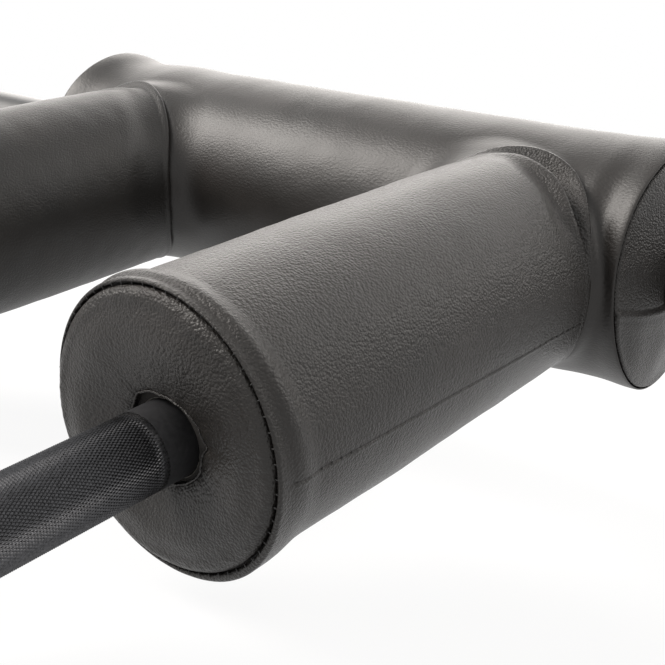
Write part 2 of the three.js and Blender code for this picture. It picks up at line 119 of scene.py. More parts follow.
def rolled_edge(distance, run):
    """How far a rolled edge turns down, by a quarter circle: most at the edge, 0 a run away."""
    return 1 - np.sqrt(1 - np.clip(1 - distance / run, 0, 0.985) ** 2)


def ripple(points, wavelength, seed, waves=14):
    """A soft random height: a sum of sine waves in random directions, about 1 at its peaks."""
    random = np.random.default_rng(seed)
    height = np.zeros(points.shape[:-1])
    for _ in range(waves):
        direction = random.normal(size=3)
        direction *= random.uniform(0.7, 1.4) / wavelength / np.linalg.norm(direction)
        height += np.sin(TAU * (points @ direction) + random.uniform(0, TAU))
    return height / math.sqrt(waves * 2)


def ring_table(pairs, blur=4.0):
    """Values every half degree round a circle, through (angle, value) pairs, softened by blur."""
    circle = np.arange(0, 360, 0.5)
    angles, values = np.array(sorted((angle % 360, value) for angle, value in pairs)).T
    line = np.interp(circle, angles, values, period=360)
    spread = np.exp(-0.5 * (np.minimum(circle, 360 - circle) / blur) ** 2)
    soft = np.fft.irfft(np.fft.rfft(line) * np.fft.rfft(spread / spread.sum()), len(circle))
    return circle, soft


def run_table(pairs, blur=5.0):
    """Values every half millimetre along a run, through (place, value) pairs, softened by blur."""
    places = np.arange(-50, 260, 0.5)
    line = np.interp(places, *np.array(pairs, float).T)
    spread = np.exp(-0.5 * (np.arange(-3 * blur, 3 * blur + 0.5, 0.5) / blur) ** 2)
    padded = np.pad(line, len(spread) // 2, mode="edge")
    return places, np.convolve(padded, spread / spread.sum(), "valid")


def on_ring(table, angle):
    """The value of a ring table at any angles in degrees."""
    return np.interp(angle % 360, *table, period=360)


def round_x(along, radius, turn, drop=0):
    """Points at angles round an axis along X that lies drop below the origin."""
    return np.stack(np.broadcast_arrays(along, radius * np.cos(turn), radius * np.sin(turn) - drop), -1)


def round_y(reach, radius, turn, rise=0):
    """Points at angles round an axis along -Y that lies rise above the origin."""
    return np.stack(np.broadcast_arrays(radius * np.cos(turn), -reach, rise + radius * np.sin(turn)), -1)


def to_side(points, side, out=ARM_PLACE):
    """Points moved out along X, then mirrored if they are for the right side."""
    return (points + (out, 0, 0)) * (side, 1, 1)


# Meshes


def grid_faces(rows, columns, loop):
    """Quads between neighbouring rows and columns. Columns close round; rows do if loop is set."""
    row = np.arange(rows if loop else rows - 1)
    row, column = np.meshgrid(row, np.arange(columns), indexing="ij")
    up, right = (row + 1) % rows, (column + 1) % columns
    corners = [row * columns + column, row * columns + right, up * columns + right, up * columns + column]
    return np.stack(corners, -1).reshape(-1, 4)


def closed_grid(points, ends="loop"):
    """Points and faces of a closed skin over a grid of rows: the rows loop, or fans close the ends."""
    rows, columns = points.shape[:2]
    flat = points.reshape(-1, 3)
    if ends == "loop":
        return flat, [grid_faces(rows, columns, True)]
    middles = np.stack([points[0].mean(0), points[-1].mean(0)])
    column = np.arange(columns)
    after = (column + 1) % columns
    first, last = len(flat), len(flat) + 1
    start = np.stack([np.full(columns, first), after, column], -1)
    base = (rows - 1) * columns
    finish = np.stack([np.full(columns, last), base + column, base + after], -1)
    return np.concatenate([flat, middles]), [grid_faces(rows, columns, False), start, finish]


def joined(parts):
    """Several (points, faces) skins as one."""
    points, faces, count = [], [], 0
    for part_points, part_faces in parts:
        faces += [face + count for face in part_faces]
        points.append(part_points)
        count += len(part_points)
    return np.concatenate(points), faces


def outward(points, faces):
    """The faces turned so that the closed skin's volume counts positive."""
    volume = 0.0
    for group in faces:
        corner = points[group]
        for second in range(1, group.shape[1] - 1):
            cross = np.cross(corner[:, second], corner[:, second + 1])
            volume += (corner[:, 0] * cross).sum()
    return faces if volume > 0 else [group[:, ::-1] for group in faces]


def make_mesh(name, points, faces, sharp, flat_faces=None, face_material=None):
    """A mesh from arrays. sharp is the angle in degrees past which an edge shades sharp."""
    faces = outward(points, faces)
    mesh = bpy.data.meshes.new(name)
    sizes = np.concatenate([np.full(len(group), group.shape[1]) for group in faces])
    corners = np.concatenate([group.ravel() for group in faces])
    mesh.vertices.add(len(points))
    mesh.vertices.foreach_set("co", points.astype(np.float32).ravel())
    mesh.loops.add(len(corners))
    mesh.loops.foreach_set("vertex_index", corners.astype(np.int32))
    mesh.polygons.add(len(sizes))
    mesh.polygons.foreach_set("loop_start", (np.cumsum(sizes) - sizes).astype(np.int32))
    shade = np.ones(len(sizes), bool) if flat_faces is None else ~flat_faces
    mesh.polygons.foreach_set("use_smooth", shade)
    if face_material is not None:
        mesh.polygons.foreach_set("material_index", face_material.astype(np.int32))
    mesh.update(calc_edges=True)
    mesh.validate()
    mesh.set_sharp_from_angle(angle=math.radians(sharp))
    return mesh


def show(name, data):
    """A new object in the scene."""
    obj = bpy.data.objects.new(name, data)
    bpy.context.scene.collection.objects.link(obj)
    return obj


def piece(name, points, faces, sharp, slot, replaces=(), body="frame", finishes=None, **shading):
    """A shown piece that rides on a body and stands for CAD nodes. It has its slot's finish, or the
    finishes between which its faces choose."""
    mesh = make_mesh(name, points, faces, sharp, **shading)
    obj = show(name, mesh)
    for finish in finishes or [slot]:
        mesh.materials.append(MATERIALS[finish])
    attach(obj, body)
    if replaces:
        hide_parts(*replaces)
    return obj


def lathe(profile, segments=96, ends="fan"):
    """A profile of [along, radius] corners turned about +X: point = (along, r cos a, r sin a)."""
    profile = np.array(profile, float)
    angle = np.linspace(0, TAU, segments, endpoint=False)
    return closed_grid(round_x(profile[:, :1], profile[:, 1:], angle), ends)


def ring_section(start, end, bore, radius):
    """The profile of a plain ring."""
    return [[start, bore], [start, radius], [end, radius], [end, bore]]


def rounded(profile, radius, steps=4, closed=False):
    """The profile with each inner corner replaced by a short curve that starts a radius before it."""
    profile = [np.array(corner, float) for corner in profile]
    last = len(profile) - 1
    result = []
    for index, corner in enumerate(profile):
        if not closed and index in (0, last):
            result.append(corner)
            continue
        before, after = profile[index - 1] - corner, profile[(index + 1) % len(profile)] - corner
        reach = min(radius, np.linalg.norm(before) / 2.2, np.linalg.norm(after) / 2.2)
        start = corner + before / np.linalg.norm(before) * reach
        finish = corner + after / np.linalg.norm(after) * reach
        for share in np.linspace(0, 1, steps):
            result.append((1 - share) ** 2 * start + 2 * share * (1 - share) * corner + share ** 2 * finish)
    return result


# Materials


def linear(code):
    """An sRGB hex colour as linear RGBA."""
    parts = [int(code[start:start + 2], 16) / 255 for start in (1, 3, 5)]
    return [c / 12.92 if c <= 0.04045 else ((c + 0.055) / 1.055) ** 2.4 for c in parts] + [1.0]


def feed(tree, node, inputs):
    """Sets a node's inputs: each takes a value, or a link where it is given a socket."""
    for name, value in inputs.items():
        if isinstance(value, bpy.types.NodeSocket):
            tree.links.new(value, node.inputs[name])
        else:
            node.inputs[name].default_value = value


def add(tree, kind, inputs=None, **settings):
    """Adds a shader node with its settings and inputs."""
    node = tree.nodes.new("ShaderNode" + kind)
    for name, value in settings.items():
        setattr(node, name, value)
    feed(tree, node, inputs or {})
    return node


def empty_tree(owner):
    """The node tree of a material or a world, with nothing in it."""
    owner.use_nodes = True
    owner.node_tree.nodes.clear()
    return owner.node_tree


def start_material(name):
    """A new material with a Principled shader and Object coordinates."""
    material = bpy.data.materials.new(name)
    tree = empty_tree(material)
    shader = add(tree, "BsdfPrincipled")
    add(tree, "OutputMaterial", {"Surface": shader.outputs[0]})
    return material, tree, add(tree, "TexCoord").outputs["Object"], shader


def per(millimetres):
    """A texture scale that repeats after a real size."""
    return 1 / (millimetres * MM)


def noise(tree, where, size, detail, roughness=0.5):
    """A noise texture of a real size in millimetres."""
    inputs = {"Vector": where, "Scale": per(size), "Detail": detail, "Roughness": roughness}
    return add(tree, "TexNoise", inputs)


def ramp(tree, factor, low, high, low_colour, high_colour):
    """Colour that runs from one to another as factor goes from low to high."""
    node = add(tree, "ValToRGB", {"Fac": factor})
    for element, position, colour in zip(node.color_ramp.elements, (low, high), (low_colour, high_colour)):
        element.position = position
        element.color = linear(colour)
    return node.outputs["Color"]


def spread(tree, factor, low, high):
    """A number that runs from low to high as factor goes from 0 to 1."""
    return add(tree, "MapRange", {"Value": factor, "To Min": low, "To Max": high}).outputs["Result"]


def leatherette(name, dark, light, index, gloss, depth, drawn=(1, 1, 1)):
    """Polyurethane leatherette, embossed: black, with a fine pebble grain that breaks up a wide soft
    gloss, a faint warmth where it is lit, and the gloss a little uneven from handling. index is the
    finish's refractive index, gloss its least and most roughness, and depth how deep the grain is,
    in millimetres. drawn below 1 lengthens the grain and its creases along an axis, where the cover
    is pulled tight."""
    material, tree, where, shader = start_material(name)
    grain_size, crease_size, handling_size = 1.05, 2.4, 38
    cell_shift, pebble_weight, crease_weight = 0.4 * grain_size, -1.4, 0.25
    pulled = add(tree, "Mapping", {"Vector": where, "Scale": drawn}).outputs[0]
    bend = noise(tree, pulled, crease_size, 2.0).outputs["Color"]
    shift = {0: bend, 1: (cell_shift * MM,) * 3, 2: pulled}
    shifted = add(tree, "VectorMath", shift, operation="MULTIPLY_ADD").outputs[0]
    cells = {"Vector": shifted, "Scale": per(grain_size), "Smoothness": 0.2}
    pebbles = add(tree, "TexVoronoi", cells, feature="SMOOTH_F1").outputs["Distance"]
    height = noise(tree, pulled, grain_size / 2, 3.0, 0.6).outputs["Fac"]
    creases = noise(tree, pulled, crease_size * 2, 4.0, 0.55).outputs["Fac"]
    for marks, weight in ((pebbles, pebble_weight), (creases, crease_weight)):
        height = add(tree, "Math", {0: marks, 1: weight, 2: height}, operation="MULTIPLY_ADD").outputs[0]
    bump = add(tree, "Bump", {"Height": height, "Strength": 0.9, "Distance": depth * MM})
    worn = noise(tree, where, handling_size, 3.0).outputs["Fac"]
    feed(tree, shader, {
        "Base Color": ramp(tree, worn, 0.3, 0.7, dark, light), "Roughness": spread(tree, worn, *gloss),
        "Normal": bump.outputs[0], "IOR": index,
    })
    return material


FINE_NOISE = {"Detail": 4.0, "Roughness": 0.6}


def surface(name, metallic, dark, light, rough, size, depth, kind="Noise", output="Fac", texture=FINE_NOISE,
            ends=(0.3, 0.7), strength=0.5, packing=(1, 1, 1)):
    """A finish whose colour and height follow one texture of a real size, and its roughness too where
    rough is a pair. depth is the marks' height in millimetres. packing above 1 sets the marks closer
    along an axis, which leaves them as lines round it, as turning and grinding do."""
    material, tree, where, shader = start_material(name)
    packed = add(tree, "Mapping", {"Vector": where, "Scale": packing}).outputs[0]
    marks = add(tree, "Tex" + kind, {"Vector": packed, "Scale": per(size), **texture}).outputs[output]
    bump = add(tree, "Bump", {"Height": marks, "Strength": strength, "Distance": depth * MM})
    feed(tree, shader, {
        "Base Color": ramp(tree, marks, *ends, dark, light), "Normal": bump.outputs[0], "Metallic": metallic,
        "Roughness": spread(tree, marks, *rough) if isinstance(rough, tuple) else rough,
    })
    return material


MATERIALS = {
    # The left roll's hide and the end panels: an open grain with a wide soft gloss
    "leatherette": leatherette("black_pu_leatherette", "#262422", "#2e2b29", 1.395, (0.28, 0.39), 0.28),
    # The same hide pulled along the neck roll, which draws its grain out along X
    "neck_leatherette": leatherette(
        "black_pu_leatherette_drawn", "#23211f", "#2b2826", 1.42, (0.36, 0.46), 0.06, drawn=(0.6, 1, 1)),
    # The right roll's hide: a copy of the same hide whose darker colour is painted shade, with a shallower
    # grain and a duller gloss
    "shaded_leatherette": leatherette(
        "black_pu_leatherette_painted_shade", "#1e1d1c", "#262422", 1.37, (0.4, 0.5), 0.11),
    # Knitted polyester backing, seen at a raw cut edge: dull dark grey lint with no gloss; its dark colour is
    # partly painted shade of the hollow inside the hole
    "backing": surface("grey_knit_backing_painted_shade", 0.0, "#1e1d1c", "#383532", 0.9, 0.7, 0.2,
                       texture={"Detail": 4.0}),
    # Bonded nylon thread, twisted: nearly black, with a fine slanting lay that glints. A wave texture
    # has 3.2 bands to its size, so the lay's bands lie 0.94 mm apart.
    "thread": surface("black_nylon_thread", 0.0, "#0d0d0d", "#1b1a19", 0.5, 3.0, 0.05, "Wave", "Fac",
                      {"Distortion": 1.0}, ends=(0.2, 0.8), strength=0.4),
    # Open cell polyurethane foam, cut: matt grey with pores
    "foam": surface("grey_pu_foam", 0.0, "#6d6a66", "#98958f", 0.95, 1.4, 0.5, "Voronoi", "Distance", {},
                    ends=(0.1, 0.7), strength=0.8),
    # Satin black powder coat: dark, with a slight orange peel that wobbles its reflections
    "coated_steel": surface("black_powder_coat", 0.0, "#19191a", "#202021", (0.32, 0.42), 2.2, 0.05),
    # Black oxide over cut steel: the knurl's faces glint dark grey
    "knurled_steel": surface("black_oxide_knurl", 1.0, "#3e3e3f", "#58585a", (0.22, 0.34), 0.9, 0.02),
    # The same finish where the tube is plain: smooth, dull and dark grey
    "plain_steel": surface("black_oxide_plain", 0.6, "#39393b", "#454547", (0.4, 0.5), 1.6, 0.02),
    # Bare weld: heat has dulled it, and its ripples catch the light
    "weld_steel": surface("bare_weld", 1.0, "#4a4a4b", "#707072", (0.4, 0.6), 1.5, 0.08),
    # Hard chrome on a turned sleeve: bright, with hair-fine marks round it
    "chrome": surface("hard_chrome", 1.0, "#a6a8ab", "#bbbdc0", (0.16, 0.26), 9, 0.004, packing=(12, 1, 1)),
    # Ground steel: grey, with the grinding marks round it
    "ground_steel": surface(
        "ground_steel", 1.0, "#96989b", "#b4b6b8", (0.22, 0.38), 3, 0.01, packing=(8, 1, 1)),
    # Spring steel, blued: near black with a metal's gloss
    "spring_steel": surface("blued_spring_steel", 1.0, "#2a2a2d", "#3a3a3e", (0.3, 0.42), 1.2, 0.02),
    # Sintered bronze: warm brown and porous
    "bronze": surface("sintered_bronze", 1.0, "#8f6a34", "#b08846", (0.35, 0.5), 0.6, 0.04),
    # Moulded black plastic with a spark-eroded texture
    "black_plastic": surface("moulded_black_plastic", 0.0, "#131313", "#1b1b1b", (0.45, 0.6), 0.5, 0.05),
}


# How far the sewn shoulder rolls sit above their tubes: left, right
ROLL_RISE = {1: 2.9, -1: 1.1}

# The seam between the neck cover and a shoulder cover: its reach forward of the shaft's axis at
# each angle round the roll, in degrees, 0 at the arm's outer side and 90 at its top
SEAM_REACH = {
    1: ring_table([
        (0, 63.2), (14, 62.0), (22, 59.5), (30, 55.6), (41, 48.5), (51, 41.5), (62, 35.6), (74, 33.7),
        (88, 34), (105, 37.5), (125, 46), (150, 57), (180, 63.5), (-10, 63.6), (-23, 61.8), (-40, 56),
        (-60, 47), (-90, 41), (-120, 46), (-150, 58),
    ]),
    -1: ring_table([
        (0, 63.4), (20, 59.5), (40, 49), (60, 36), (74, 32.5), (88, 32), (101, 35.4), (115, 41.0), (125, 46),
        (134, 50.4), (141, 54), (152, 60), (161, 63.8), (170, 66), (185, 66.8), (205, 63), (230, 51.5),
        (250, 44.5), (270, 41.5), (300, 47), (330, 57.5),
    ]),
}

# The neck roll's circles: how far out, radius, and drop below the shaft's axis. The right end's
# rim stands higher and further out.
NECK_CIRCLES = {
    1: [(0, 58.7, 1.6), (129, 58.9, 1.6), (147, 58.8, 1.1), (160, 57.9, -0.1), (171, 58.1, -0.6),
        (181, 59.4, -0.4), (190, 58.0, -0.3)],
    -1: [(0, 58.7, 1.6), (110, 58.7, 1.5), (122, 59.0, 1.2), (136, 58.9, 1.0), (150, 58.2, 1.3),
         (165, 57.8, 2.0), (174, 58.6, 2.2), (183, 60.2, 1.6), (190, 61.6, 1.1), (195, 61.3, 1.0)],
}
NECK_RADIUS, NECK_DROP = ({
    side: run_table([(circle[0], circle[part]) for circle in circles])
    for side, circles in NECK_CIRCLES.items()
} for part in (1, 2))
NECK_EDGE = {1: 188.9, -1: 193.0}
# How far the left end's rim leans outward at each angle about the shaft, 0 at the back and 90 at the
# top, and the stretch over which the lean comes in
NECK_LEAN = ring_table([
    (90, 0.3), (113, 0.2), (125, -0.9), (139, -1.5), (152, -1.2), (167, -0.7), (178, 0.2), (186, 0.9),
    (202, 2.1), (219, 2.9), (240, 2.4), (270, 1.0), (300, 0), (0, 0), (60, 0),
], blur=6)
LEAN_START = 150
LEAN_RUN = 38
# How deep the waist just inside the left end is, at the same angles, and where it lies
NECK_WAIST = ring_table([
    (90, 0.2), (112, 1.0), (130, 2.2), (155, 2.8), (180, 2.6), (215, 1.2), (250, 0.2), (300, 0), (0, 0),
    (60, 0),
], blur=8)
WAIST_PLACE = 176
WAIST_HALF = 13
# The half circle by which a cover's rim turns in
EDGE_ROUND = 1.1
EDGE_TURNS = np.radians([0, 22, 45, 66, 90, 114, 135, 158, 180])

# How softly a stub runs into the neck roll: crisp at the outer side, wide at the top and inner side
STUB_BLEND = ring_table([
    (-90, 12), (-30, 7), (40, 6), (60, 6), (90, 8), (108, 15), (140, 22), (180, 22), (-135, 16),
], blur=8)
# How deep the soft valley is that each roll has beside its seam: left, right. Its middle lies half
# its width from the seam.
ROLL_DIP = {
    1: ring_table([(0, 0), (80, 0), (110, 0.6), (140, 1.0), (180, 0.8), (-120, 0)], blur=8),
    -1: ring_table([
        (0, 0), (60, 0.3), (85, 0.9), (110, 1.6), (150, 1.5), (180, 0.8), (200, 0.3), (-120, 0),
    ], blur=8),
}
DIP_HALF = 17
# How far the left stub lies below the sewn edge of its roll
STUB_SINK = ring_table([
    (-90, 0), (20, 0), (42, 2.0), (60, 4.2), (80, 4.4), (96, 2.2), (115, 0.3), (130, 0), (180, 0),
], blur=6)
# How far the left stub is drawn in at its seam, the same for the right one, and the stretch before
# the seam over which it happens
SEAM_TUCK = ring_table([
    (-90, 1.4), (-30, 2.2), (0, 2.6), (35, 2.4), (60, 1.4), (90, 1.1), (180, 1.1),
], blur=8)
RIGHT_TUCK = 0.9
TUCK_RUN = 2.5
# Past its seam, under the roll's cover, a stub tapers and then ends. Behind the shaft it closes by a
# parabola.
TAPER = 0.7
TAPER_RUN = 8
STUB_OVERLAP = 7
STUB_BACK = 34
STUB_CLOSING = 0.035


def neck_circle(x):
    """Radius and drop of the neck roll at places along X."""
    return [np.where(x > 0, np.interp(np.abs(x), *table[1]), np.interp(np.abs(x), *table[-1]))
            for table in (NECK_RADIUS, NECK_DROP)]


def neck_lean(x, turn):
    """How far the left end's rim leans outward, eased in over its last stretch."""
    return on_ring(NECK_LEAN, np.degrees(turn)) * smooth((x - LEAN_START) / LEAN_RUN)


def neck_field(x, y, z, radius, drop):
    """Distance outside the neck roll joined to its two stubs by a soft union: below 0 is inside. A
    stub is drawn in by as much as the union swells it at the seam, (sqrt blend - sqrt gap) squared,
    so that the two covers meet there."""
    roll = np.hypot(y, z + drop) - radius
    out = np.abs(x) - ARM_PLACE
    left = x > 0
    rise = np.where(left, ROLL_RISE[1], ROLL_RISE[-1])
    height = z - rise
    angle = np.degrees(np.arctan2(height, out))
    seam = np.where(left, on_ring(SEAM_REACH[1], angle), on_ring(SEAM_REACH[-1], angle))
    beyond = -y - seam
    blend = on_ring(STUB_BLEND, angle)
    gap = np.hypot(seam, rise + STUB_RADIUS * np.sin(np.radians(angle)) + drop) - radius
    sink = (np.sqrt(blend) - np.sqrt(np.clip(gap, 0, blend))) ** 2
    sink += np.where(left, on_ring(STUB_SINK, angle), 0)
    tuck = np.where(left, on_ring(SEAM_TUCK, angle), RIGHT_TUCK) * np.clip(1 + beyond / TUCK_RUN, 0, 1) ** 2
    tuck += TAPER * np.clip(beyond, 0, TAPER_RUN)
    stub = np.maximum(np.hypot(out, height) - (STUB_RADIUS - tuck - sink), beyond - STUB_OVERLAP)
    stub += STUB_CLOSING * np.maximum(y + STUB_BACK, 0) ** 2
    share = np.clip(0.5 + 0.5 * (stub - roll) / blend, 0, 1)
    return stub + (roll - stub) * share - blend * share * (1 - share)


# Where the search for the neck cover's reach starts, and its number of halvings
REACH_LIMITS = (30.0, 110.0)
HALVINGS = 30
# A neck rim's turned edge, then its two rows inside: how far they lie from the rim and below it
TURNED_IN = 0.85
INSIDE_RUN = 2.2
INSIDE_DROP = 1.2


def neck_cover():
    """The neck roll's cover: at each place along X and angle about the roll's axis, the reach at
    which the ray from the axis leaves the soft union of rolls and stubs, plus a slow ripple. Its
    rims turn in by a half circle."""
    x = np.linspace(EDGE_ROUND - NECK_EDGE[-1], NECK_EDGE[1] - EDGE_ROUND, 316)
    angle = np.linspace(0, TAU, 330, endpoint=False)
    place_x, turn = np.meshgrid(x, angle, indexing="ij")
    radius, drop = neck_circle(place_x)
    radius = radius - on_ring(NECK_WAIST, np.degrees(turn)) * hump(place_x - WAIST_PLACE, WAIST_HALF)
    inner, outer = (np.full_like(place_x, limit) for limit in REACH_LIMITS)
    for _ in range(HALVINGS):
        middle = (inner + outer) / 2
        field = neck_field(place_x, middle * np.cos(turn), middle * np.sin(turn) - drop, radius, drop)
        inner = np.where(field < 0, middle, inner)
        outer = np.where(field < 0, outer, middle)
    reach = (inner + outer) / 2

    def at(x, reach, drop):
        return round_x(x + neck_lean(x, angle), reach, angle, drop)

    skin = at(place_x, reach, drop)
    reach = reach + 0.28 * ripple(skin, 52, seed=3) + 0.05 * ripple(skin, 17, seed=4)
    rims = {}
    for side, row in ((1, -1), (-1, 0)):
        grid = []
        for bend in EDGE_TURNS[1:]:
            size = reach[row] - TURNED_IN * (1 - np.cos(bend)) / 2 * EDGE_ROUND
            grid.append(at(x[row] + side * EDGE_ROUND * np.sin(bend), size, drop[row]))
        inside = x[row] - side * INSIDE_RUN
        grid.append(at(inside, reach[row] - INSIDE_DROP, drop[row]))
        grid.append(round_x(inside, NECK_BORE, angle, NECK_BORE_DROP))
        rims[side] = np.stack(grid)
    points, faces = closed_grid(np.concatenate([rims[-1][::-1], at(place_x, reach, drop), rims[1]]))
    cover = piece("neck_roll_cover", place(points), faces, 60, "leatherette", ["neck_cover"],
                  finishes=["neck_leatherette"])


# The fold beside the seam on a shoulder cover: where its bottom and its far ridge lie from the
# seam, and how deep it is
FOLD_BOTTOM = ring_table([
    (0, 2.2), (17, 2.8), (26, 6.2), (38, 11), (50, 12.6), (64, 12.4), (77, 10), (93, 7), (110, 7), (180, 7),
])
FOLD_RIDGE = ring_table([
    (0, 3.6), (18, 4.4), (30, 9.8), (41, 16), (53, 18.6), (65, 19.4), (75, 18.6), (91, 13.5), (110, 15),
    (180, 15),
])
FOLD_DEPTH = ring_table([
    (-20, 0), (2, 0), (12, 0.7), (20, 1.9), (30, 3.8), (42, 7.2), (58, 8.2), (72, 6.2), (84, 3.2), (94, 1.1),
    (108, 0.2), (125, 0), (200, 0),
])
# Past the fold come a ridge and a shallow valley: shares of the fold's depth, and where the valley
# lies past the ridge
FAR_RIDGE = 0.3
VALLEY = 0.24
VALLEY_PLACE = 7
VALLEY_HALF = 9
# The sewn edge's crest: what its left and right ones add to the least one, and where it lies from
# the seam
CREST = {
    1: ring_table([
        (-20, 0), (10, 0.2), (30, 0.9), (50, 1.6), (75, 1.5), (95, 0.8), (115, 0.2), (130, 0), (200, 0),
    ]),
    -1: ring_table([(-20, 0), (40, 0.4), (70, 1.0), (95, 1.4), (130, 1.0), (160, 0.3), (180, 0), (200, 0)]),
}
LEAST_CREST = 0.6
CREST_PLACE = 2.4
CREST_HALF = 2.6

# The lengthwise seam: places along the roll, and its angle there
LONG_SEAM_PLACES = [64, 97, 171, 236, 264.6]
LONG_SEAM_ANGLES = [-12.2, -9.5, -5.9, -3.7, -1.8]
STITCH_PITCH = 5.0
# The cover's edge turned in at the seam: (place forward of the seam, step in radius)
TURNED_EDGE = [(2.2, -5.0), (0.7, -4.4), (0.1, -3.4), (0.15, -2.5)]
LIP_RUN = 1.8

# A shoulder roll's rim: the circle of its seam, its lip, how far back the lip flares, and how much
# the cover's last stretch is drawn in behind a ridge
RIM_SEAM = ring_table([
    (110, 51.2), (81, 51.3), (47, 51.2), (22, 50.4), (5, 50.2), (-20, 50.3), (-57, 50.4), (-96, 50.9),
    (-140, 51.2), (180, 51.3),
], blur=8)
RIM_LIP = ring_table([
    (110, 53.2), (80, 53.1), (47, 52.7), (20, 52.3), (-12, 52.6), (-35, 53.7), (-58, 54.1), (-80, 53.1),
    (-110, 52.7), (-150, 52.4), (180, 52.6), (150, 53.0),
], blur=8)
RIM_FLARE = ring_table([
    (90, 3.2), (10, 4), (-25, 12), (-55, 36), (-75, 34), (-120, 16), (180, 6), (140, 3.6),
], blur=8)
RIM_PULL = ring_table([
    (90, 0.55), (66, 0.8), (45, 1), (26, 1), (10, 0.6), (-6, 0.3), (-30, 0.12), (-90, 0.1), (-150, 0.2),
    (160, 0.6), (125, 0.9),
], blur=10)
RIM_WALL = 0.35
# The ridge behind the rim: how far back from the rim it runs, and how high it and how deep the
# valley before it are at full pull
RIM_RIDGE = ring_table([
    (90, 7.0), (62, 6.4), (46, 6.4), (32, 7.2), (20, 8.6), (0, 11), (-60, 13), (-120, 10), (180, 8), (130, 8),
], blur=6)
RIM_RISE = 2.9
RIM_DIP = 0.5


def shoulder_cover(side, name, fold_share, seed):
    """A shoulder roll's cover: a reach from the roll's axis at each angle and place forward, which
    is the roll's radius, less the lip that turns into the seam, the fold beside it and the
    lengthwise seam, plus the fold's ridge and slow ripples. The rim turns in by a half circle."""
    # Columns stand close beside the lengthwise seam, and rows close past the seam and before the rim
    offset = np.concatenate([np.linspace(-5, 5, 51), np.linspace(5, 355, 284)[1:-1]])
    seam = on_ring(SEAM_REACH[side], offset + LONG_SEAM_ANGLES[0])
    end = ROLL_END - 0.1
    near = np.arange(0.3, 40, 0.8)
    body = np.linspace(0, 1, 112)[1:-1]
    rim = np.arange(14, 1.0, -0.5)
    rows = [seam + distance for distance, _ in TURNED_EDGE]
    rows += [seam + distance for distance in near]
    rows += [(seam + near[-1]) * (1 - share) + (end - rim[0]) * share for share in body]
    rows += [np.full_like(seam, end - distance) for distance in rim]
    rows += [np.full_like(seam, end - EDGE_ROUND * (1 - math.sin(bend))) for bend in EDGE_TURNS]
    rows += [np.full_like(seam, end - 3.0)] * 2
    reach = np.array(rows)
    angle = offset + np.interp(reach, LONG_SEAM_PLACES, LONG_SEAM_ANGLES)
    turn = np.radians(angle)
    from_seam = reach - seam
    to_rim = np.maximum(end - reach, EDGE_ROUND)
    skin = round_y(reach, ROLL_RADIUS, turn)

    lip = LIP_RUN * rolled_edge(from_seam, LIP_RUN)
    crest = on_ring(CREST[side], angle)
    crest_half = CREST_HALF + np.where(from_seam < CREST_PLACE, 0, 2 * crest)
    lip_crest = (LEAST_CREST + crest) * hump(from_seam - CREST_PLACE, crest_half)
    bottom, ridge = on_ring(FOLD_BOTTOM, angle), on_ring(FOLD_RIDGE, angle)
    depth = on_ring(FOLD_DEPTH, angle) * fold_share
    down = smooth((from_seam - LIP_RUN) / (bottom - LIP_RUN))
    up = smooth((from_seam - bottom) / (ridge - bottom))
    fold = depth * np.where(from_seam < bottom, down, 1 - up)
    far_ridge = FAR_RIDGE * depth * hump(from_seam - ridge, 0.32 * ridge)
    valley = VALLEY * depth * hump(from_seam - ridge - VALLEY_PLACE, VALLEY_HALF)

    pull = on_ring(RIM_PULL, angle)
    back = on_ring(RIM_RIDGE, angle)
    slope = np.where(to_rim < back, 0.95 * back, 5.5 + 0.4 * back)
    rim_ridge = RIM_RISE * pull * hump(to_rim - back, slope)
    rim_valley = RIM_DIP * pull * hump(to_rim - 0.36 * back - 0.8, 0.4 * back)
    flare = (on_ring(RIM_LIP, angle) - ROLL_RADIUS) * hump(to_rim - EDGE_ROUND, on_ring(RIM_FLARE, angle))
    gathers = 0.03 * fade(to_rim - 1.2, 2.0) * ripple(skin * (1, 0.15, 1), 6.5, seed + 9)

    across = np.radians(offset) * ROLL_RADIUS
    across = np.where(offset > 180, across - TAU * ROLL_RADIUS, across)
    groove = 0.30 * bell(across, 0.45) - 0.10 * bell(across + 1.0, 0.7)
    groove = groove * smooth((to_rim - 2.5) / 4)
    stitch = 0.16 * bell(across, 0.7) * hump((reach % STITCH_PITCH) - STITCH_PITCH / 2, 0.9)

    crown = 0.6 * np.sin(np.pi * np.clip(from_seam / (from_seam + to_rim), 0, 1))
    crown -= on_ring(ROLL_DIP[side], angle) * hump(from_seam - DIP_HALF, DIP_HALF)
    slow = (0.30 * ripple(skin, 60, seed) + 0.08 * ripple(skin, 19, seed + 1)) * smooth(to_rim / 12)
    radius = ROLL_RADIUS + crown - lip + lip_crest - fold + far_ridge - valley
    radius += flare + rim_ridge - rim_valley + gathers - groove - stitch + slow
    for row, (_, step) in enumerate(TURNED_EDGE):
        radius[row] = radius[len(TURNED_EDGE)] + (step + 1.4) * (1 + 0.45 * crest[row])
    wall = on_ring(RIM_SEAM, angle[-1]) + RIM_WALL
    first_turned = -len(EDGE_TURNS) - 2
    outer = radius[first_turned]
    radius[first_turned:-2] = outer - (outer - wall) * (1 - np.cos(EDGE_TURNS))[:, None] / 2
    radius[-2] = wall - 0.2
    radius[[0, -1]] = FOAM_BORE
    rise = np.full_like(radius, ROLL_RISE[side])
    rise[[0, -1]] = 0
    points, faces = closed_grid(to_side(round_y(reach, radius, turn, rise), side))
    # The right roll takes the copy of the hide whose darker colour is painted shade
    hide = "leatherette" if side > 0 else "shaded_leatherette"
    cover = piece(name + "_roll_cover", place(points), faces, 60, "leatherette", [name + "_shoulder_cover"],
                  finishes=[hide])


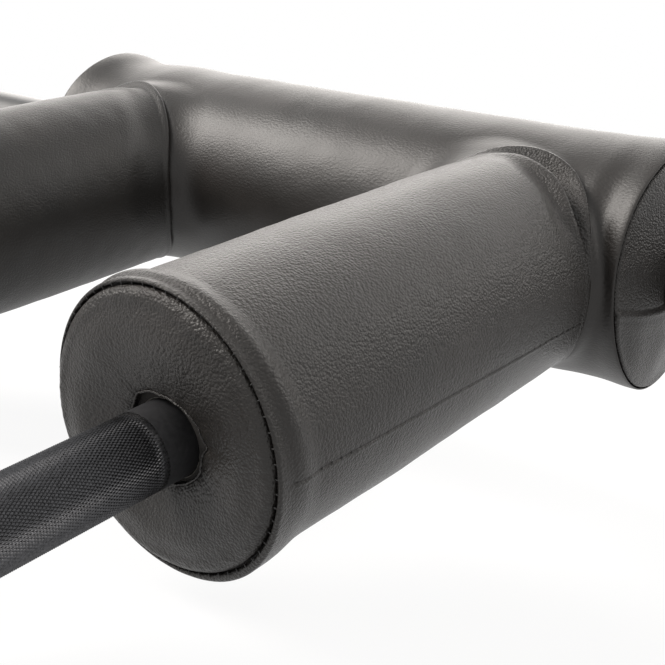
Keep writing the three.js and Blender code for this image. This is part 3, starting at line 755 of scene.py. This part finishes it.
# The raw cut hole in a shoulder roll's end panel: two arcs that meet at a corner, and a nick
HOLE_OUTLINE = ring_table([
    (180, 15.6), (163, 15.8), (149, 16.0), (137, 16.6), (129, 17.6), (122, 17.2), (106, 17.1), (94, 16.6),
    (69, 16.9), (47, 18.3), (32, 19.2), (22, 19.3), (16, 19.6), (11, 20.6), (6, 18.2), (-3, 16.6),
    (-23, 16.8), (-44, 15.8), (-71, 15.4), (-100, 15.8), (-140, 15.6),
], blur=1.5)
# How deep the panel is drawn in round the hole, and how much it bulges, at each angle
HOLE_DEPTH = ring_table([
    (90, 1.4), (60, 1.4), (20, 2.2), (-40, 2.6), (-90, 2.4), (-150, 2.2), (180, 2.0), (140, 2.0), (115, 1.6),
], blur=8)
FACE_BULGE = ring_table([
    (180, 1.8), (150, 0.7), (120, 0), (40, 0), (0, 0), (-60, 0), (-110, 0.5), (-150, 1.7),
], blur=10)
# The cut edge's roll, then where the panel's face and the back of its lining lie
CUT_LIP = 0.45
PANEL_FACE = 1.6
PANEL_LINING = ROLL_END - 3.05


def shares(*runs):
    """Shares from 0 to 1 in a column, by runs of (where it ends, number of points)."""
    values = [np.zeros(1)]
    for end, count in runs:
        values.append(np.linspace(values[-1][-1], end, count)[1:])
    return np.concatenate(values)[:, None]


def shoulder_panel(side, name, seed):
    """A shoulder roll's end panel: points run from the hole's outline to the rim, and their place
    forward is a low crown, less the pull round the hole, plus the rolled edge and its gathers. The
    cut edge round the hole is rolled over, a half circle."""
    angle = np.linspace(0, 360, 450, endpoint=False)
    turn = np.radians(angle)
    rim_radius = on_ring(RIM_SEAM, angle) - RIM_WALL
    share = shares((0.3, 16), (0.82, 26), (1, 34))
    fray = ripple(np.stack([17 * np.cos(turn), 17 * np.sin(turn), 0 * turn], -1), 2.6, seed + 3)
    hole = on_ring(HOLE_OUTLINE, angle) + 0.10 * fray
    foot = hole + 2 * CUT_LIP
    rise = ROLL_RISE[side]
    x = (foot + (rim_radius - foot) * share) * np.cos(turn)
    z = (foot + (rim_radius - foot) * share) * np.sin(turn) + rise * share
    from_hole = np.hypot(x, z) - foot
    to_rim = rim_radius - np.hypot(x, z - rise)
    to_rim[-1] = 0
    flat = np.stack([x, np.zeros_like(x), z], -1)
    crown = 1.7 * smooth(from_hole / 20) * smooth(to_rim / 15)
    pull = on_ring(HOLE_DEPTH, angle) * fade(from_hole, 6.5)
    dip = 0.5 * fade(from_hole, 1.1)
    edge = 2.9 * rolled_edge(to_rim, 3.0) - 0.25 * hump(to_rim - 4.0, 3.0)
    edge = edge - on_ring(FACE_BULGE, angle) * (0.5 + 0.5 * smooth(to_rim / 4)) * smooth(from_hole / 24)
    gathers = 0.12 * fade(to_rim - 2.4, 3.0) * ripple(flat, 4.4, seed)
    gathers += 0.06 * bell(to_rim - 3, 3.0) * ripple(flat, 2.8, seed + 4)
    strain = 0.16 * fade(from_hole, 6) * np.sin(np.radians(angle * 17 + 60 * np.sin(turn * 2)))
    slow = 0.35 * ripple(flat, 34, seed + 1) + 0.06 * ripple(flat, 9, seed + 2)
    forward = ROLL_END + PANEL_FACE + crown - pull - dip - edge + gathers
    forward += (strain + slow) * smooth(to_rim / 4)

    # From inside to out: the backing behind the cut edge, the edge's roll, the face, the turned rim
    base = forward[0]
    hidden = [(hole + 1.9, PANEL_LINING - 0.4), (ARM_RADIUS + 0.5, PANEL_LINING - 0.2),
              (ARM_RADIUS + 0.5, PANEL_LINING), (hole + 0.1, PANEL_LINING), (hole + 0.1, base - 1.4)]
    lip = [(hole + CUT_LIP * (1 + math.cos(bend)), base + 0.5 * math.sin(bend)) for bend in EDGE_TURNS[:0:-1]]
    back = [(rim_radius, ROLL_END - 2.4), (rim_radius - 0.2, ROLL_END - 3.6),
            (rim_radius - 1.5, ROLL_END - 4.2)]
    rows = [round_y(reach, radius, turn) for radius, reach in hidden + lip]
    rows += list(np.stack([x, -forward, z], -1))
    rows += [round_y(reach, radius, turn, rise) for radius, reach in back]
    points, faces = closed_grid(to_side(np.stack(rows), side))
    # The backing's faces, whose dark colour is partly painted shade inside the hole
    shaded_backing_faces = np.arange(len(faces[0])) < (len(hidden) - 1) * len(angle)
    panel = piece(name + "_roll_end_panel", place(points), faces, 60, "leatherette",
                  [name + "_shoulder_end_panel"], finishes=["leatherette", "backing"], face_material=shaded_backing_faces)


# The slit in a neck end panel, sewn shut after the panel went over the shaft: (y, z) in the panel
SLIT = [(-64.0, -0.9), (-53.0, -3.6), (-38.5, -7.4), (-26.0, -9.3), (-12.0, -9.6), (-3.0, -10.0)]


def neck_panel(side, name, seed):
    """A neck roll's end panel: points run from the shaft's hole to the rim, and their place outward
    is a bulge towards the shaft, with a rolled edge, gathers and one sewn slit."""
    turn = np.linspace(0, TAU, 330, endpoint=False)
    _, neck_radius, drop = NECK_CIRCLES[side][-1]
    rim_radius = neck_radius - 1.05
    share = shares((0.3, 18), (0.86, 40), (1, 26))
    hole_radius = SHAFT_RADIUS + 0.5
    rim_y, rim_z = rim_radius * np.cos(turn), rim_radius * np.sin(turn) - drop
    hole_y, hole_z = hole_radius * np.cos(turn), hole_radius * np.sin(turn)
    y = hole_y + (rim_y - hole_y) * share
    z = hole_z + (rim_z - hole_z) * share
    from_hole = np.hypot(y, z) - hole_radius
    to_rim = rim_radius - np.hypot(y, z + drop)
    to_rim[-1] = 0
    flat = np.stack([np.zeros_like(y), y, z], -1)
    bulge = 6.0 * smooth(to_rim / 36) + 0.8 * smooth(to_rim / 9)
    pull = 1.2 * fade(from_hole, 1.6)
    edge = 1.0 * rolled_edge(to_rim, 1.3)
    gathers = 0.10 * fade(to_rim - 2.0, 2.8) * ripple(flat, 3.4, seed)
    slow = 0.35 * ripple(flat, 30, seed + 1) * smooth(to_rim / 6)
    below = z - np.interp(y, *np.array(SLIT).T)
    along = smooth((-2 - y) / 6) * (y < -2)
    slit = along * (-0.55 * bell(below, 0.8) + 0.8 * bell(below + 2.4, 1.9) + 0.7 * bell(below + 6, 5))
    lean = neck_lean(np.full_like(y, side * NECK_END), turn) * np.clip(share * 1.5, 0, 1)
    out = NECK_EDGE[side] + 1.0 + bulge - pull - edge + gathers + slow + slit + lean

    behind = NECK_EDGE[side] + lean[-1]
    rows = [round_x(NECK_END - 3.2, hole_radius, turn), *np.stack([out, y, z], -1)]
    rows += [round_x(behind - 1.4, rim_radius, turn, drop),
             round_x(behind - 2.4, rim_radius - 1.6, turn, drop)]
    points, faces = closed_grid(to_side(np.stack(rows), side, 0))
    panel = piece(name + "_neck_panel", place(points), faces, 60, "leatherette", [name + "_neck_end_panel"])


def foam_core(node, name):
    """The CAD foam's own shape, merged, as a cut foam piece."""
    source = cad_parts[node].data
    points = np.zeros(len(source.vertices) * 3, np.float32)
    source.vertices.foreach_get("co", points)
    points = points.reshape(-1, 3)
    corners = np.zeros(len(source.loops), np.int32)
    source.loops.foreach_get("vertex_index", corners)
    _, first, index = np.unique(np.round(points, 6), axis=0, return_index=True, return_inverse=True)
    faces = index.reshape(-1)[corners].reshape(-1, 3)
    core = piece(name, points[first].astype(float), [faces], 30, "foam", [node])


# Handles. The knurl's lines slant from the tube's axis, and it fades in and out over a few rows.
KNURLS_AROUND = 72
KNURL_DEPTH = 0.48
KNURL_SLANT = math.radians(30)
KNURL_FADE = 4
PLAIN_START = 32


def handle(side, name):
    """An arm's tube: a saddle end against the shaft, a plain run, then a diamond knurl. The knurl's
    grid has a peak at every other point, so each diamond is four flat faces."""
    columns = 2 * KNURLS_AROUND
    turn = np.linspace(0, TAU, columns, endpoint=False)
    step = TAU * ARM_RADIUS / KNURLS_AROUND / math.tan(KNURL_SLANT) / 2
    count = int((ARM_END - 1.2 - KNURL_START) / step) // 2 * 2
    rows = [(np.sqrt((SHAFT_RADIUS + 0.3) ** 2 - (radius * np.sin(turn)) ** 2), radius)
            for radius in (ARM_BORE, ARM_RADIUS)]
    rows += [(reach, ARM_RADIUS) for reach in np.linspace(PLAIN_START, KNURL_START - 0.5, 12)]
    first_knurl = len(rows)
    for index in range(count + 1):
        peak = (np.arange(columns) + index) % 2 == 1
        depth = KNURL_DEPTH * min(1, index / KNURL_FADE, (count - index) / KNURL_FADE)
        rows.append((KNURL_START + step * index, ARM_RADIUS - np.where(peak, 0, depth)))
    last_knurl = len(rows) - 1
    rows += [(ARM_END - 0.9, ARM_RADIUS), (ARM_END - 0.3, ARM_RADIUS), (ARM_END, ARM_RADIUS - 0.5),
             (ARM_END, ARM_BORE)]
    points, faces = closed_grid(to_side(np.stack([round_y(*row, turn) for row in rows]), side))
    quads = faces[0]
    row, column = np.arange(len(quads)) // columns, np.arange(len(quads)) % columns
    knurled = (row >= first_knurl) & (row < last_knurl)
    diamonds = quads[knurled]
    swap = ((row + column - first_knurl)[knurled] % 2 == 1)[:, None]
    turned = np.where(swap, np.roll(diamonds, 1, 1), diamonds)
    triangles = np.concatenate([turned[:, [0, 1, 2]], turned[:, [0, 2, 3]]])
    rest = row[~knurled]
    flat_faces = np.arange(len(rest) + len(triangles)) >= len(rest)
    plain = np.concatenate([(rest < first_knurl) & (rest > 0), np.zeros(len(triangles), bool)])
    piece(name + "_handle_tube", place(points), [quads[~knurled], triangles], 40, "knurled_steel",
          [name + "_arm_tube"], finishes=["knurled_steel", "plain_steel"], flat_faces=flat_faces,
          face_material=plain)

    stem = ARM_BORE - 0.3
    profile = [[ARM_END - 15, 0], [ARM_END - 15, stem], [ARM_END + 0.3, stem], [ARM_END + 0.3, ARM_RADIUS],
               [PLUG_END - 0.6, ARM_RADIUS], [PLUG_END, ARM_RADIUS - 4], [PLUG_END, 0.5]]
    points, faces = lathe(rounded(profile, 1.6))
    points = to_side(points[:, [1, 0, 2]] * (1, -1, 1), side)
    piece(name + "_handle_plug", place(points), faces, 35, "black_plastic", [name + "_handle_end_plug"])


# Shaft, cambers and sleeves
def shaft():
    """The straight shaft: a round bar with broken edges."""
    profile = [[-SHAFT_HALF, 0], [-SHAFT_HALF, SHAFT_RADIUS], [SHAFT_HALF, SHAFT_RADIUS], [SHAFT_HALF, 0]]
    points, faces = lathe(rounded(profile, 0.6), 128)
    piece("shaft_bar", place(points), faces, 35, "coated_steel", ["center_shaft"])


def camber_path():
    """Places along the camber's centre line as (out, down), with the heading at each, in radians."""
    bend = CAMBER_BEND_RADIUS * CAMBER_BEND_ANGLE
    runs = [(CAMBER_LEAD, 0, 2), (bend, CAMBER_BEND_ANGLE, 22), (CAMBER_LINK, 0, 2),
            (bend, -CAMBER_BEND_ANGLE, 22), (CAMBER_LEAD, 0, 2)]
    lengths, turns = [np.zeros(1)], [np.zeros(1)]
    for length, angle, steps in runs:
        share = np.linspace(0, 1, steps + 1)[1:]
        lengths.append(lengths[-1][-1] + length * share)
        turns.append(turns[-1][-1] + angle * share)
    length, heading = np.concatenate(lengths), np.concatenate(turns)
    step, turn = np.diff(length), np.diff(heading)
    chord = step * np.sinc(turn / TAU)
    middle = heading[:-1] + turn / 2
    out = np.concatenate([[0], np.cumsum(chord * np.cos(middle))])
    down = np.concatenate([[0], np.cumsum(chord * np.sin(middle))])
    return out, down, heading


def camber(side, name):
    """A camber: a circle carried square to the camber's centre line, its ends closed by flat fans.
    The bead where it joins the shaft is a half circle's section with ripples round it."""
    out, down, heading = camber_path()
    turn = np.linspace(0, TAU, 96, endpoint=False)
    ring_up, ring_across = SHAFT_RADIUS * np.cos(turn), SHAFT_RADIUS * np.sin(turn)
    x = CAMBER_START + out[:, None] + ring_up * np.sin(heading)[:, None]
    fall = -down[:, None] + ring_up * np.cos(heading)[:, None]
    forward, up = math.sin(CAMBER_FORWARD), math.cos(CAMBER_FORWARD)
    grid = np.stack([side * x, fall * forward + ring_across * up, fall * up - ring_across * forward], -1)
    points, faces = closed_grid(grid, "fan")
    piece(name + "_camber", place(points), faces, 35, "coated_steel", [name + "_camber_bend"])

    turn = np.linspace(0, TAU, 240, endpoint=False)
    section = np.linspace(0, np.pi, 9)[:, None]
    ripples = round(TAU * SHAFT_RADIUS / BEAD_RIPPLE)
    along = BEAD_HALF * np.cos(section) + 0.9 * np.cos(ripples * turn) * np.sin(section)
    radius = SHAFT_RADIUS + 0.3 + BEAD_HEIGHT * np.sin(section) * (1 + 0.16 * np.sin(ripples * turn))
    points, faces = closed_grid(round_x(side * (SHAFT_HALF + 0.15 + along), radius, turn))
    piece(name + "_camber_bead", place(points), faces, 80, "coated_steel", [name + "_camber_weld"])


# Places along the sleeve count outward from the shaft's shoulder
WASHER_START = 0.3
WASHER_END = 2.3
WASHER_BORE = 14.3
WASHER_RADIUS = 24
SHAFT_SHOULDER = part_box("left_thrust_washer")[0][0] / MM - WASHER_START
SLEEVE_START = 2.6
SLEEVE_END = 421.6
SLEEVE_RADIUS = 25.0
SLEEVE_BORE = 17.5
MOUTH_RADIUS = 21.3
COLLAR_RADIUS = 42.0
COLLAR_END = 22.6
CLIP_PLACE = SLEEVE_END - 6
CLIP_START = CLIP_PLACE + 0.1
CAP_PLACE = CLIP_PLACE - 3.3
CAP_RADIUS = 21
MOUTH_START = CAP_PLACE - 0.3
LUG_RADIUS = 2.3
LUG_HOLE = 0.9


def sleeve_piece(side, name, points, faces, slot, body, node):
    """A piece about the sleeve's axis, placed on one side, and not turned by the tilt."""
    points = to_side(points, side, SHAFT_SHOULDER) * MM + SLEEVE_AXIS
    piece(name, points, faces, 32, slot, [node], body)


def turned_piece(side, name, profile, slot, body, node, bevel, ends="loop"):
    """The same for a profile turned about the sleeve's axis."""
    points, faces = lathe(rounded(profile, bevel, closed=ends == "loop"), 128, ends)
    sleeve_piece(side, name, points, faces, slot, body, node)


def sleeve(side, name):
    """What turns on one spindle, with the washer behind it."""
    body = name + "_sleeve"
    washer = ring_section(WASHER_START, WASHER_END, WASHER_BORE, WASHER_RADIUS)
    turned_piece(side, name + "_washer", washer, "ground_steel", "frame", name + "_thrust_washer", 0.3)
    groove = MOUTH_RADIUS + 1.1
    tube = [
        [SLEEVE_START, SLEEVE_BORE], [SLEEVE_START, SLEEVE_RADIUS], [SLEEVE_END - 1.5, SLEEVE_RADIUS],
        [SLEEVE_END, SLEEVE_RADIUS - 1.5], [SLEEVE_END, MOUTH_RADIUS], [CLIP_PLACE + 2.15, MOUTH_RADIUS],
        [CLIP_PLACE + 2.15, groove], [CLIP_PLACE - 0.15, groove], [CLIP_PLACE - 0.15, MOUTH_RADIUS],
        [MOUTH_START, MOUTH_RADIUS], [MOUTH_START, SLEEVE_BORE],
    ]
    turned_piece(side, name + "_sleeve_barrel", tube, "chrome", body, name + "_sleeve_tube", 0.4)
    inner, chamfered = SLEEVE_RADIUS + 0.3, COLLAR_RADIUS - 2
    collar = [
        [SLEEVE_START, inner], [SLEEVE_START, chamfered], [SLEEVE_START + 2, COLLAR_RADIUS],
        [COLLAR_END - 2, COLLAR_RADIUS], [COLLAR_END, chamfered], [COLLAR_END, inner],
    ]
    turned_piece(side, name + "_collar", collar, "chrome", body, name + "_stop_collar", 0.5)
    face = CAP_PLACE + 3
    cap = [
        [CAP_PLACE, 0.5], [CAP_PLACE, CAP_RADIUS], [face, CAP_RADIUS], [face, 16.4], [face - 1, 15.4],
        [face - 1, 6], [face - 0.6, 5], [face - 0.6, 0.5],
    ]
    turned_piece(side, name + "_cap", cap, "chrome", body, name + "_end_cap", 0.4, "fan")
    clip_ring(side, name, body)


def clip_ring(side, name, body):
    """A retaining clip: a flat ring whose width swells opposite its gap, with an eye at each end."""
    outer = MOUTH_RADIUS + 0.8
    gap = math.radians(14)
    turn = np.linspace(-np.pi / 2 + gap, 1.5 * np.pi - gap, 90)
    width = 2.4 + 1.1 * np.sin((turn + np.pi / 2) / 2)
    along = np.array([CLIP_START, CLIP_PLACE + 2, CLIP_PLACE + 2, CLIP_START])[:, None]
    radius = np.stack([np.full_like(turn, outer)] * 2 + [outer - width] * 2)
    parts = [closed_grid(round_x(along, radius, turn).transpose(1, 0, 2), "fan")]
    for end in (turn[0], turn[-1]):
        points, faces = lathe(ring_section(CLIP_START, CLIP_PLACE + 2.1, LUG_HOLE, LUG_RADIUS), 24, "loop")
        reach = outer - LUG_RADIUS - 0.4
        parts.append((points + (0, reach * math.cos(end), reach * math.sin(end)), faces))
    sleeve_piece(side, name + "_clip", *joined(parts), "spring_steel", body, name + "_end_clip")


# Stitches
THREAD_RADIUS = 0.18
THREAD_LENGTH = 1.5
THREAD_RISE = 0.4
THREAD_SINK = 0.3
RIM_STITCHES = 62


def stitches(name, middles, across, up):
    """One arch of thread per place: c - a L/2 cos(pi t) + n (h sin(pi t) - s), with a round section."""
    share = np.linspace(0, 1, 7)[:, None]
    turn = np.linspace(0, TAU, 6, endpoint=False)[None, :, None]
    parts = []
    for middle, side_way, normal in zip(middles, across, up):
        line = middle - side_way * (THREAD_LENGTH / 2) * np.cos(np.pi * share)
        line = line + normal * (THREAD_RISE * np.sin(np.pi * share) - THREAD_SINK)
        tangent = np.gradient(line, axis=0)
        tangent /= np.linalg.norm(tangent, axis=1)[:, None]
        binormal = np.cross(side_way, normal)
        other = np.cross(tangent, binormal)[:, None]
        ring = line[:, None] + THREAD_RADIUS * (np.cos(turn) * binormal + np.sin(turn) * other)
        parts.append(closed_grid(ring, "fan"))
    points, faces = joined(parts)
    piece(name, place(points), faces, 60, "leatherette", finishes=["thread"])


def shoulder_stitches(side, name):
    """Threads across the rim's seam and the lengthwise seam of a shoulder roll."""
    rise = ROLL_RISE[side]
    turn = np.linspace(0, TAU, RIM_STITCHES, endpoint=False) + 0.03
    seam = on_ring(RIM_SEAM, np.degrees(turn))
    middle = to_side(round_y(ROLL_END - 0.15, seam + 0.5, turn, rise), side)
    forward = np.tile([0.0, -1.0, 0.0], (RIM_STITCHES, 1))
    stitches(name + "_rim_stitches", middle, to_side(round_y(0, 1, turn), side, 0), forward)
    reach = np.arange(72 + STITCH_PITCH / 2, ROLL_END - 6, STITCH_PITCH)
    turn = np.radians(np.interp(reach, LONG_SEAM_PLACES, LONG_SEAM_ANGLES))
    middle = to_side(round_y(reach, ROLL_RADIUS + 0.2, turn, rise), side)
    across = np.stack([-side * np.sin(turn), 0 * turn, np.cos(turn)], -1)
    stitches(name + "_side_stitches", middle, across, to_side(round_y(0, 1, turn), side, 0))


shaft()
neck_cover()
foam_core("neck_foam", "neck_roll_core")
for side, name, fold_share, seed in ((1, "left", 1.0, 20), (-1, "right", 0.45, 60)):
    shoulder_cover(side, name, fold_share, seed)
    shoulder_panel(side, name, seed + 5)
    neck_panel(side, name, seed + 9)
    foam_core(name + "_shoulder_foam", name + "_roll_core")
    shoulder_stitches(side, name)
    handle(side, name)
    camber(side, name)
    sleeve(side, name)
    kept = {"arm_weld": "weld_steel", "spindle": "ground_steel", "retaining_washer": "ground_steel",
            "snap_ring": "spring_steel", "inner_bushing": "bronze", "outer_bushing": "bronze"}
    for part, slot in kept.items():
        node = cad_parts[name + "_" + part]
        node.data.materials.clear()
        node.data.materials.append(MATERIALS[slot])


# Floor, light and camera
def seen_rays(tree):
    """1 for rays from the camera, from a reflection or through glass, and 0 for the rest."""
    path = add(tree, "LightPath")
    total = path.outputs["Is Camera Ray"]
    for kind in ("Is Glossy Ray", "Is Transmission Ray"):
        total = add(tree, "Math", {0: total, 1: path.outputs[kind]}, operation="MAXIMUM").outputs[0]
    return total


# In metres. The floor lies just under the part's lowest points.
FLOOR_RADIUS = 40
FLOOR_SIDES = 64
FLOOR_DROP = 0.0002


def floor():
    """A plain pale floor: a wide disc that reads white to the eye and keeps a soft shadow."""
    turn = np.linspace(0, TAU, FLOOR_SIDES, endpoint=False)
    disc = np.stack([FLOOR_RADIUS * np.cos(turn), FLOOR_RADIUS * np.sin(turn), 0 * turn - FLOOR_DROP], -1)
    mesh = bpy.data.meshes.new("floor")
    mesh.from_pydata([tuple(point) for point in disc], [], [tuple(range(FLOOR_SIDES))])
    material = bpy.data.materials.new("white_paper_floor")
    tree = empty_tree(material)
    paper = add(tree, "BsdfDiffuse", {"Color": (0.12, 0.12, 0.12, 1)})
    glow = add(tree, "Emission", {"Color": (1, 1, 1, 1), "Strength": 0.9})
    white = add(tree, "AddShader", {0: paper.outputs[0], 1: glow.outputs[0]})
    bounce = add(tree, "BsdfDiffuse", {"Color": (0.3, 0.3, 0.3, 1)})
    both = add(tree, "MixShader", {0: seen_rays(tree), 1: bounce.outputs[0], 2: white.outputs[0]})
    add(tree, "OutputMaterial", {"Surface": both.outputs[0]})
    mesh.materials.append(material)
    show("floor", mesh)


def sky():
    """White to the eye and in reflections, and a plain soft fill for matt surfaces."""
    world = bpy.data.worlds.new("studio")
    bpy.context.scene.world = world
    tree = empty_tree(world)
    fill = add(tree, "Background", {"Color": (1, 1, 1, 1), "Strength": 0.25})
    white = add(tree, "Background", {"Color": (1, 1, 1, 1), "Strength": 1.0})
    both = add(tree, "MixShader", {0: seen_rays(tree), 1: fill.outputs[0], 2: white.outputs[0]})
    add(tree, "OutputWorld", {"Surface": both.outputs[0]})


def bearing(azimuth, elevation):
    """Unit vector in the bar frame: azimuth 0 is forward and 90 the lifter's left."""
    azimuth, elevation = math.radians(azimuth), math.radians(elevation)
    flat = math.cos(elevation)
    return np.array([math.sin(azimuth) * flat, -math.cos(azimuth) * flat, math.sin(elevation)])


WARM_LAMP = (1.0, 0.95, 0.9)


def lamp(name, azimuth, elevation, strength, width):
    """A far soft lamp whose disc is width degrees across, seen from a bearing in the bar frame."""
    data = bpy.data.lights.new(name, "SUN")
    data.energy = strength
    data.color = WARM_LAMP
    data.angle = math.radians(width)
    show(name, data).matrix_world = facing(TURN @ bearing(azimuth, elevation), (0, 0, 1)).to_4x4()


def facing(back, up):
    """Rotation whose Z axis is back and whose Y axis leans towards up."""
    back = np.array(back) / np.linalg.norm(back)
    right = np.cross(up, back)
    right /= np.linalg.norm(right)
    return Matrix(np.stack([right, np.cross(back, right), back], -1).tolist())


CAMERA_PLACE = np.array([376.57, -479.71, 177.45])
CAMERA_AZIMUTH = 39.143
CAMERA_ELEVATION = 23.157
CAMERA_ROLL = 0.077
CAMERA_LENS = 60.24
SENSOR = 36


def camera():
    """The photograph's view: found in the bar frame, then turned and moved with the bar."""
    data = bpy.data.cameras.new("photo_view")
    data.lens = CAMERA_LENS
    data.sensor_width = SENSOR
    data.clip_start = 0.01
    data.clip_end = 200
    level = facing(TURN @ bearing(CAMERA_AZIMUTH, CAMERA_ELEVATION), TURN @ np.array([0, 0, 1.0]))
    turn = level @ Matrix.Rotation(math.radians(CAMERA_ROLL), 3, "Z")
    matrix = turn.to_4x4()
    matrix.translation = place(CAMERA_PLACE)
    obj = show("photo_view", data)
    obj.matrix_world = matrix
    bpy.context.scene.camera = obj


floor()
sky()
lamp("key", -66, 43, 3.6, 32)
lamp("backdrop", -140, 12, 1.6, 50)
lamp("side", 157, 24, 1.1, 42)
lamp("near", 92, 54, 0.45, 26)
camera()
bpy.context.scene.view_settings.view_transform = "Standard"
